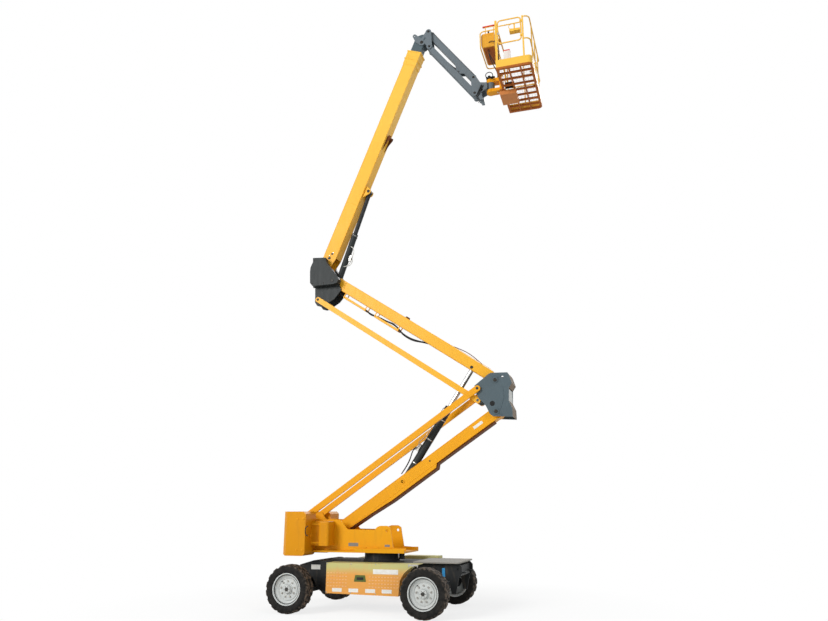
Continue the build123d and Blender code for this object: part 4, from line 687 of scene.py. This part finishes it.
hose_piece("upper_arm_top_hose", "upper_arm", tray_brown,
           [[(3.05, -0.10, 0.145), (3.15, -0.10, 0.162), (3.32, -0.10, 0.185), (3.50, -0.10, 0.178),
             (3.66, -0.10, 0.150), (3.74, -0.10, 0.140)]], 0.008, upper)
piece("upper_arm_elbow_fitting", "upper_arm", plated_steel,
      [turned([(0.020, 0.0), (0.020, 0.018), (0.012, 0.020), (0.012, 0.028)],
              in_frame(upper, [(1.862, -0.05, 0.148)])[0], upper[0][2], 6)])

tower_cylinder = side_frame((0.4456, 2.3069), 56.69)
block = [slab((0.710, 0.0, 0.102), (0.150, 0.070, 0.056), 0.004, tower_cylinder)]
block += [bolt(in_frame(tower_cylinder, [(a, b, 0.128)])[0], tower_cylinder[0][2], 0.012, 0.016)
          for a, b in ((0.665, -0.018), (0.710, 0.018), (0.755, -0.018))]
piece("tower_cylinder_valve", "tower_barrel", plated_steel, block)
hose_piece("tower_cylinder_hoses", "tower_barrel", braided_hose,
           [[(0.665, -0.03, 0.13), (0.62, -0.05, 0.165), (0.54, -0.07, 0.145), (0.40, -0.075, 0.105),
             (0.24, -0.07, 0.100), (0.10, -0.055, 0.115)],
            [(0.700, 0.02, 0.13), (0.66, -0.01, 0.18), (0.56, -0.035, 0.165), (0.42, -0.04, 0.125),
             (0.26, -0.035, 0.115), (0.12, -0.02, 0.125)]], 0.010, tower_cylinder)
hose_piece("tower_cylinder_steel_line", "tower_barrel", plated_steel,
           [[(0.760, -0.02, 0.13), (0.80, -0.045, 0.155), (0.86, -0.060, 0.120), (0.98, -0.062, 0.085),
             (1.35, -0.062, 0.085), (1.58, -0.062, 0.085), (1.62, -0.045, 0.080), (1.63, -0.03, 0.072)]],
           0.007, tower_cylinder)
straps = [turned_ring([(0.0765, -0.012), (0.0795, -0.010), (0.0795, 0.010), (0.0765, 0.012)],
                      in_frame(tower_cylinder, [(a, 0.0, 0.0)])[0], tower_cylinder[0][0], 40)
          for a in (0.42, 0.95, 1.40)]
piece("tower_cylinder_straps", "tower_barrel", plated_steel, straps)

# ---- Telescopic boom
# A folded box boom carries an inner boom that slides on wear pads behind a welded collar.
# Its cylinder's rod wears a black gaiter, and pale hoses loop off the valve block at its side.
dress(bright_yellow, "main_boom")
dress(slate, "inner_boom")
dress(dark_slate, "boom_cylinder_barrel")
# A pleated rubber gaiter: charcoal, soft and matte.
gaiter_rubber = moulded_rubber("rod_gaiter_rubber", "#222425", "#303132", 0.5)
dress(gaiter_rubber, "boom_cylinder_rod")
boom = side_frame((-1.417, 6.9798), 68.1)
boom_y, pad_y, lug_y = 0.130, 0.138, 0.090
for side, word in sides:
    pin_ends("boom_foot_pins_" + word, "main_boom", side, boom_y,
             [(0.267, -0.132, 0.026), (0.160, -0.104, 0.034)], boom, 0.0035)
    caps = [bolt(in_frame(boom, [(a, side * (boom_y + 0.004), c)])[0], (0.0, side, 0.0), 0.009, 0.008)
            for a, c in ((0.300, -0.148), (0.215, -0.090))]
    piece("boom_foot_caps_" + word, "main_boom", plated_steel, caps)
    seam = side * (boom_y + 0.001)
    beads = [weld_bead(boom, 0.22, 5.04, up, seam, 70) for up in (0.038, -0.258)]
    cross_seam = np.linspace((1.492, seam, 0.038), (1.492, seam, -0.258), 24)
    beads.append(swept(in_frame(boom, cross_seam), 0.0035, 8))
    piece("boom_weld_beads_" + word, "main_boom", bright_yellow, beads, 60)
    pads = [bolt(in_frame(boom, [(a, side * pad_y, c)])[0], (0.0, side, 0.0), 0.012, 0.008)
            for a in (5.10, 5.22) for c in (-0.01, -0.11, -0.21)]
    piece("wear_pad_bolts_" + word, "main_boom", bright_yellow, pads)
    pin_ends("boom_lug_pins_" + word, "main_boom", side, lug_y, [(1.879, -0.349, 0.034)], boom)


def sleeve(frame_, start, end, outer, inner):
    """Rectangular collar round a beam: an outer and an inner ring of corners at each end, joined all round.

    Outer and inner are (half width, lowest, highest) in the beam's own frame."""
    rings = [[(along, -half, low), (along, half, low), (along, half, high), (along, -half, high)]
             for along, (half, low, high) in ((start, outer), (end, outer), (end, inner), (start, inner))]
    return in_frame(frame_, np.array(rings, float).reshape(-1, 3)), grid_faces(4, 4, around=True, along=True)


bore = (0.1035, -0.2385, 0.0185)
rim = (0.150, -0.287, 0.067)
piece("boom_mouth_collar", "main_boom", bright_yellow,
      [sleeve(boom, 5.272, 5.400, (0.140, -0.276, 0.056), bore),
       sleeve(boom, 5.185, 5.210, rim, (0.1379, -0.2729, 0.0529)), sleeve(boom, 5.376, 5.402, rim, bore)])

cheek = [(2.900, -0.2655), (3.250, -0.2655), (3.285, -0.300), (3.270, -0.352), (3.215, -0.352),
         (3.120, -0.315)]
guide = [outline_plate(cheek, y, y + 0.007, boom) for y in (-0.075, 0.068)]
guide.append(turned([(0.022, 0.0), (0.022, 0.135), (0.0, 0.135)],
                    in_frame(boom, [(3.235, -0.0675, -0.322)])[0], (0, 1, 0), 20))
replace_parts(piece("boom_hose_roller", "main_boom", tray_brown, guide), "boom_hose_guide")

boom_cylinder = side_frame((-1.1, 6.4988), 71.33)
block = [slab((0.640, 0.0, -0.088), (0.130, 0.066, 0.048), 0.004, boom_cylinder)]
block += [bolt(in_frame(boom_cylinder, [(a, b, -0.110)])[0], -boom_cylinder[0][2], 0.011, 0.016)
          for a, b in ((0.600, -0.016), (0.640, 0.016), (0.680, -0.016))]
piece("boom_cylinder_valve", "boom_barrel", plated_steel, block)
hose_piece("boom_cylinder_hoses", "boom_barrel", white_hose_stock,
           [[(0.68, -0.016, -0.115), (0.71, -0.028, -0.136), (0.77, -0.044, -0.137), (0.83, -0.052, -0.122),
             (0.87, -0.055, -0.085), (0.89, -0.055, -0.030)],
            [(0.60, -0.016, -0.115), (0.57, -0.028, -0.132), (0.52, -0.044, -0.126), (0.47, -0.052, -0.110),
             (0.43, -0.056, -0.075), (0.41, -0.056, -0.025)],
            [(0.64, 0.016, -0.115), (0.61, 0.030, -0.134), (0.56, 0.046, -0.130), (0.51, 0.055, -0.108),
             (0.48, 0.058, -0.070), (0.46, 0.058, -0.025)]], 0.0075, boom_cylinder)
hose_piece("boom_cylinder_line", "boom_barrel", plated_steel,
           [[(0.64, 0.03, -0.088), (0.70, 0.055, -0.06), (0.80, 0.062, -0.035), (1.05, 0.062, -0.035),
             (1.10, 0.058, -0.03)]], 0.006, boom_cylinder)
piece("boom_cylinder_gland_ring", "boom_barrel", plated_steel,
      [turned_ring([(0.0655, -0.016), (0.070, -0.013), (0.070, 0.013), (0.0655, 0.016)],
                   in_frame(boom_cylinder, [(1.150, 0.0, 0.0)])[0], boom_cylinder[0][0], 40)])

# ---- Jib
# A short grey parallelogram arm that keeps the platform upright, with hoses clipped along its top.
# Its pins stand out of the head plates, and the lock plates beside them hold the pins still.

# A lighter slate enamel: the same cold grey, brighter in the open light up here.
pale_slate = sprayed_enamel("pale_slate_enamel", "#6D767B", "#62696E", 0.38, dirt="#33373A", dirt_share=0.3)
dress(pale_slate, "jib_head", "jib_arm", "jib_link", "jib_end_bracket")
dress(dark_slate, "jib_cylinder_barrel")
dress(rod_chrome, "jib_cylinder_rod")
jib = side_frame((1.0282, 12.4207), -54.24)
jib_y = 0.126
for side, word in sides:
    pin_ends("jib_head_pins_" + word, "jib_head", side, jib_y,
             [(0.8682, 12.1657, 0.040), (1.0282, 12.4207, 0.028), (1.0482, 12.0207, 0.028)])
    pin_ends("jib_end_pins_" + word, "jib_end", side, jib_y,
             [(2.0579, 10.9909, 0.028), (2.0779, 10.5909, 0.028)])
    piece("jib_head_keepers_" + word, "jib_head", slate,
          keeper_plate((0.935, side * jib_y, 12.245), side, 58.0, 0.075))
    hose_piece("jib_hoses_" + word, "jib_arm", braided_hose,
               [[(0.02, side * 0.030, 0.083), (0.30, side * 0.030, 0.074), (0.90, side * 0.032, 0.074),
                 (1.45, side * 0.030, 0.074), (1.70, side * 0.028, 0.078)]], 0.010, jib)
clips = [slab((a, 0.0, 0.076), (0.022, 0.105, 0.022), 0.003, jib) for a in (0.25, 0.70, 1.15, 1.55)]
piece("jib_hose_clips", "jib_arm", plated_steel, clips)

loop = np.array([(2.110, 0.128, 10.50), (2.150, 0.142, 10.56), (2.195, 0.146, 10.66), (2.230, 0.142, 10.74),
                 (2.240, 0.120, 10.76)])
hose_piece("jib_end_hoses", "jib_end", braided_hose,
           [(loop + shift) * np.array([1.0, side, 1.0])
            for side in (-1, 1) for shift in ((0.0, 0.0, 0.0), (0.032, 0.004, -0.020))], 0.010)
# Dark discs on the end bracket: painted shade standing for its holes.
holes = [turned([(0.040, -0.004), (0.040, 0.002), (0.034, 0.0025), (0.030, 0.0005), (0.0, 0.0005)],
                (2.221, side * jib_y, 10.64), (0, side, 0), 24) for side in (-1, 1)]
piece("jib_end_holes", "jib_end", shadow_black, holes)

# ---- Platform
# A welded frame with an expanded-metal floor, tube rails and a swing gate, hung on the rotator's lugs.
# Its console is a folded yellow housing; the floor frame is drawn in a painted shade brown, as its underside
# is seen in shade.

# Chrome yellow painted down to an orange brown: painted shade on the floor frame's underside, which faces the
# ground.
shade_brown_enamel = sprayed_enamel("painted_shade_floor_enamel", "#B2652A", "#9A5420", 0.45, dirt="#74401C",
                              dirt_share=0.35)
dress(shade_brown_enamel, "platform_floor")
dress(bright_yellow, "platform_rails", "platform_gate", "console_guard", "toe_boards", "console_hoop")
# The console's enamel: a deeper, sun-worn yellow.
console_enamel = sprayed_enamel("console_enamel", "#E2A63C", "#D89A30", 0.34, dirt="#9A6424", dirt_share=0.3)
dress(console_enamel, "control_console")
# The support's enamel: chrome yellow above, and an orange brown at its lowest edge, the box under the floor:
# painted shade, as it is seen from below.
support_enamel = sprayed_enamel("support_enamel", "#E8A01A", "#DE9414", 0.36, dirt="#7A4A1C", dirt_share=0.3,
                                low=(10.545, 10.575, "#C27C45"))
dress(support_enamel, "platform_support")
# Padded vinyl: a strong red with a fine grain and a soft sheen.
red_vinyl = moulded_rubber("red_padded_vinyl", "#E0493B", "#CB3C30", 0.5, 180.0)
dress(red_vinyl, "hoop_pad")
# The storage box's off-white enamel, flushed red where its paint has run.
box_enamel = sprayed_enamel("red_box_enamel", "#E3DAD2", "#D8CFC6", 0.4, dirt="#B8453A", dirt_share=0.3)
dress(box_enamel, "storage_box")
# Moulded ABS: black, with a fine matte grain.
black_plastic = moulded_rubber("black_moulded_plastic", "#1A1A1B", "#2A2A2A", 0.55)
dress(black_plastic, "foot_switch")

tray_x, tray_y = 3.105, -0.765
pan = [slab((tray_x, tray_y, 11.450), (0.220, 0.112, 0.006), 0.002)]
pan += [slab((tray_x, y, 11.474), (0.220, 0.005, 0.052), 0.002) for y in (-0.819, -0.711)]
pan += [slab((x, tray_y, 11.474), (0.005, 0.112, 0.052), 0.002) for x in (2.996, 3.214)]
pan += [slab((tray_x, -0.825, 11.560), (0.030, 0.008, 0.150), 0.002),
        swept(eased([(3.205, -0.819, 11.49), (3.02, -0.820, 11.50), (2.985, -0.820, 11.53),
                     (2.985, -0.820, 11.59), (3.02, -0.820, 11.62), (3.205, -0.820, 11.63)]), 0.006, 8)]
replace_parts(piece("gate_tray", "gate", bright_yellow, pan), "tool_tray")

# The floor's mesh bars are drawn in the same painted shade brown as the floor frame.
mesh_z, mesh_pitch = 10.6030, 0.062
bars = [swept([(x, -0.835, mesh_z), (x, 0.835, mesh_z)], 0.0015, 6)
        for x in np.arange(2.72, 3.41, mesh_pitch)]
bars += [swept([(2.70, y, mesh_z + 0.002), (3.42, y, mesh_z + 0.002)], 0.0015, 6)
         for y in np.arange(-0.82, 0.83, mesh_pitch)]
piece("expanded_metal_floor", "platform", shade_brown_enamel, bars, 50)
feet = [slab((x, y, 10.609), (0.070, 0.070, 0.006), 0.002)
        for x, y in ((3.28, -0.80), (3.38, -0.5), (3.38, 0.0), (3.38, 0.5), (3.06, 0.80), (2.745, 0.64),
                     (2.745, 0.24), (2.745, -0.54))]
piece("post_feet", "platform", bright_yellow, feet)
console_x, console_y, panel_z = 2.475, -0.170, 11.765
stick_rows = (-0.38, -0.02)
panel = [slab((console_x, console_y, 11.7625), (0.225, 0.560, 0.006), 0.002)]
panel += [slab((console_x, y, 11.768), (0.10, 0.075, 0.010), 0.003) for y in stick_rows]
piece("console_panel", "platform", black_plastic, panel)
stick = [(0.030, 0.0), (0.026, 0.010), (0.014, 0.030), (0.007, 0.036), (0.007, 0.075), (0.015, 0.080),
         (0.020, 0.095), (0.019, 0.115), (0.012, 0.126), (0.0, 0.128)]
toggle = [(0.006, 0.0), (0.006, 0.010), (0.003, 0.012), (0.003, 0.028), (0.005, 0.034), (0.0, 0.036)]
sticks = [turned(stick, (console_x, y, 11.772), (0, 0, 1), 20) for y in stick_rows]
sticks += [turned(toggle, (x, y, panel_z), (0, 0, 1), 10)
           for x in (2.42, 2.53) for y in (-0.27, -0.23, -0.19, -0.15, -0.11)]
piece("console_levers", "platform", black_plastic, sticks)
stop = turned([(0.010, 0.0), (0.010, 0.012), (0.022, 0.016), (0.024, 0.022), (0.020, 0.030), (0.0, 0.034)],
              (console_x, 0.065, panel_z), (0, 0, 1), 24)
piece("console_stop_button", "platform", red_vinyl, [stop], 40)
signal_lamps = [turned([(0.008, 0.0), (0.008, 0.004), (0.005, 0.008), (0.0, 0.009)], (console_x, y, panel_z),
                       (0, 0, 1), 12) for y in (-0.25, -0.21, -0.17, -0.13)]
piece("console_lamps", "platform", label_stock, signal_lamps, 40)
# The console's closed bottom, brown with painted shade, as the housing's underside is seen in shade.
piece("console_bottom_plate", "platform", shade_brown_enamel,
      [slab((2.485, console_y, 11.4235), (0.234, 0.604, 0.006), 0.002)])
screws = [bolt((x, y, 11.760), (0, 0, 1), 0.007, 0.005)
          for x in (2.37, 2.58) for y in (-0.46, console_y, 0.12)]
screws += [bolt((2.3305, y, z), (-1, 0, 0), 0.008, 0.006) for y in (-0.44, 0.10) for z in (11.47, 11.68)]
piece("console_screws", "platform", plated_steel, screws)
piece("console_folds", "platform", console_enamel,
      [slab((console_x, -0.5012, z), (0.24, 0.003, 0.012), 0.001) for z in (11.455, 11.725)])
hose_piece("console_cables", "platform", braided_hose,
           [[(2.50, -0.505, 11.520), (2.56, -0.560, 11.500), (2.64, -0.600, 11.440), (2.712, -0.640, 11.330),
             (2.735, -0.700, 11.140), (2.738, -0.760, 10.950), (2.742, -0.790, 10.790),
             (2.748, -0.800, 10.640)],
            [(2.47, -0.400, 11.415), (2.48, -0.400, 11.300), (2.56, -0.330, 11.150), (2.62, -0.220, 11.050),
             (2.635, -0.130, 10.980), (2.620, -0.060, 10.925), (2.590, -0.020, 10.912)],
            [(2.47, -0.360, 11.415), (2.47, -0.350, 11.280), (2.53, -0.270, 11.120), (2.59, -0.160, 11.020),
             (2.60, -0.090, 10.960), (2.585, -0.040, 10.918)]], 0.010)
port = [(0.018, 0.0), (0.018, 0.034), (0.014, 0.040), (0.0, 0.040)]
valve = [slab((2.430, 0.0, 10.938), (0.190, 0.130, 0.066), 0.004),
         slab((2.395, -0.030, 10.990), (0.05, 0.05, 0.045), 0.004)]
valve += [turned(port, (2.35 + 0.045 * i, side * 0.064, 10.94), (0, side, 0), 12)
          for side in (-1, 1) for i in range(4)]
piece("rotator_valve_block", "platform", shadow_black, valve)
hose_piece("rotator_hoses", "platform", braided_hose,
           [[(2.35, -0.095, 10.94), (2.33, -0.150, 10.96), (2.37, -0.175, 11.00), (2.44, -0.165, 11.02),
             (2.49, -0.130, 10.99), (2.49, -0.100, 10.945)],
            [(2.395, -0.095, 10.94), (2.39, -0.160, 10.90), (2.43, -0.185, 10.86), (2.50, -0.150, 10.84),
             (2.53, -0.105, 10.86)]], 0.009)
t = np.arange(25) * (2.0 * np.pi / 24)
ring = np.column_stack([2.60 + 0.030 * np.cos(t), np.full(25, -0.055), 10.560 + 0.030 * np.sin(t)])
piece("support_ring", "platform", plated_steel, [swept(ring, 0.005, 8)], 60)
piece("tray_contents", "gate", red_vinyl,
      [slab((3.085, -0.768, 11.479), (0.120, 0.070, 0.050), 0.008),
       slab((3.170, -0.770, 11.474), (0.040, 0.060, 0.040), 0.006)])
piece("gate_latch", "gate", plated_steel,
      [slab((2.760, -0.840, 11.420), (0.030, 0.030, 0.060), 0.003)])
piece("storage_box_lid", "platform", red_vinyl,
      [slab((2.925, -0.8037, 10.985), (0.132, 0.094, 0.030), 0.004)])
treads = [slab((2.860 + dx, -0.120, 10.6725), (0.008, 0.120, 0.004), 0.001)
          for dx in np.arange(-0.08, 0.09, 0.02)]
piece("foot_switch_ribs", "platform", black_plastic, treads)
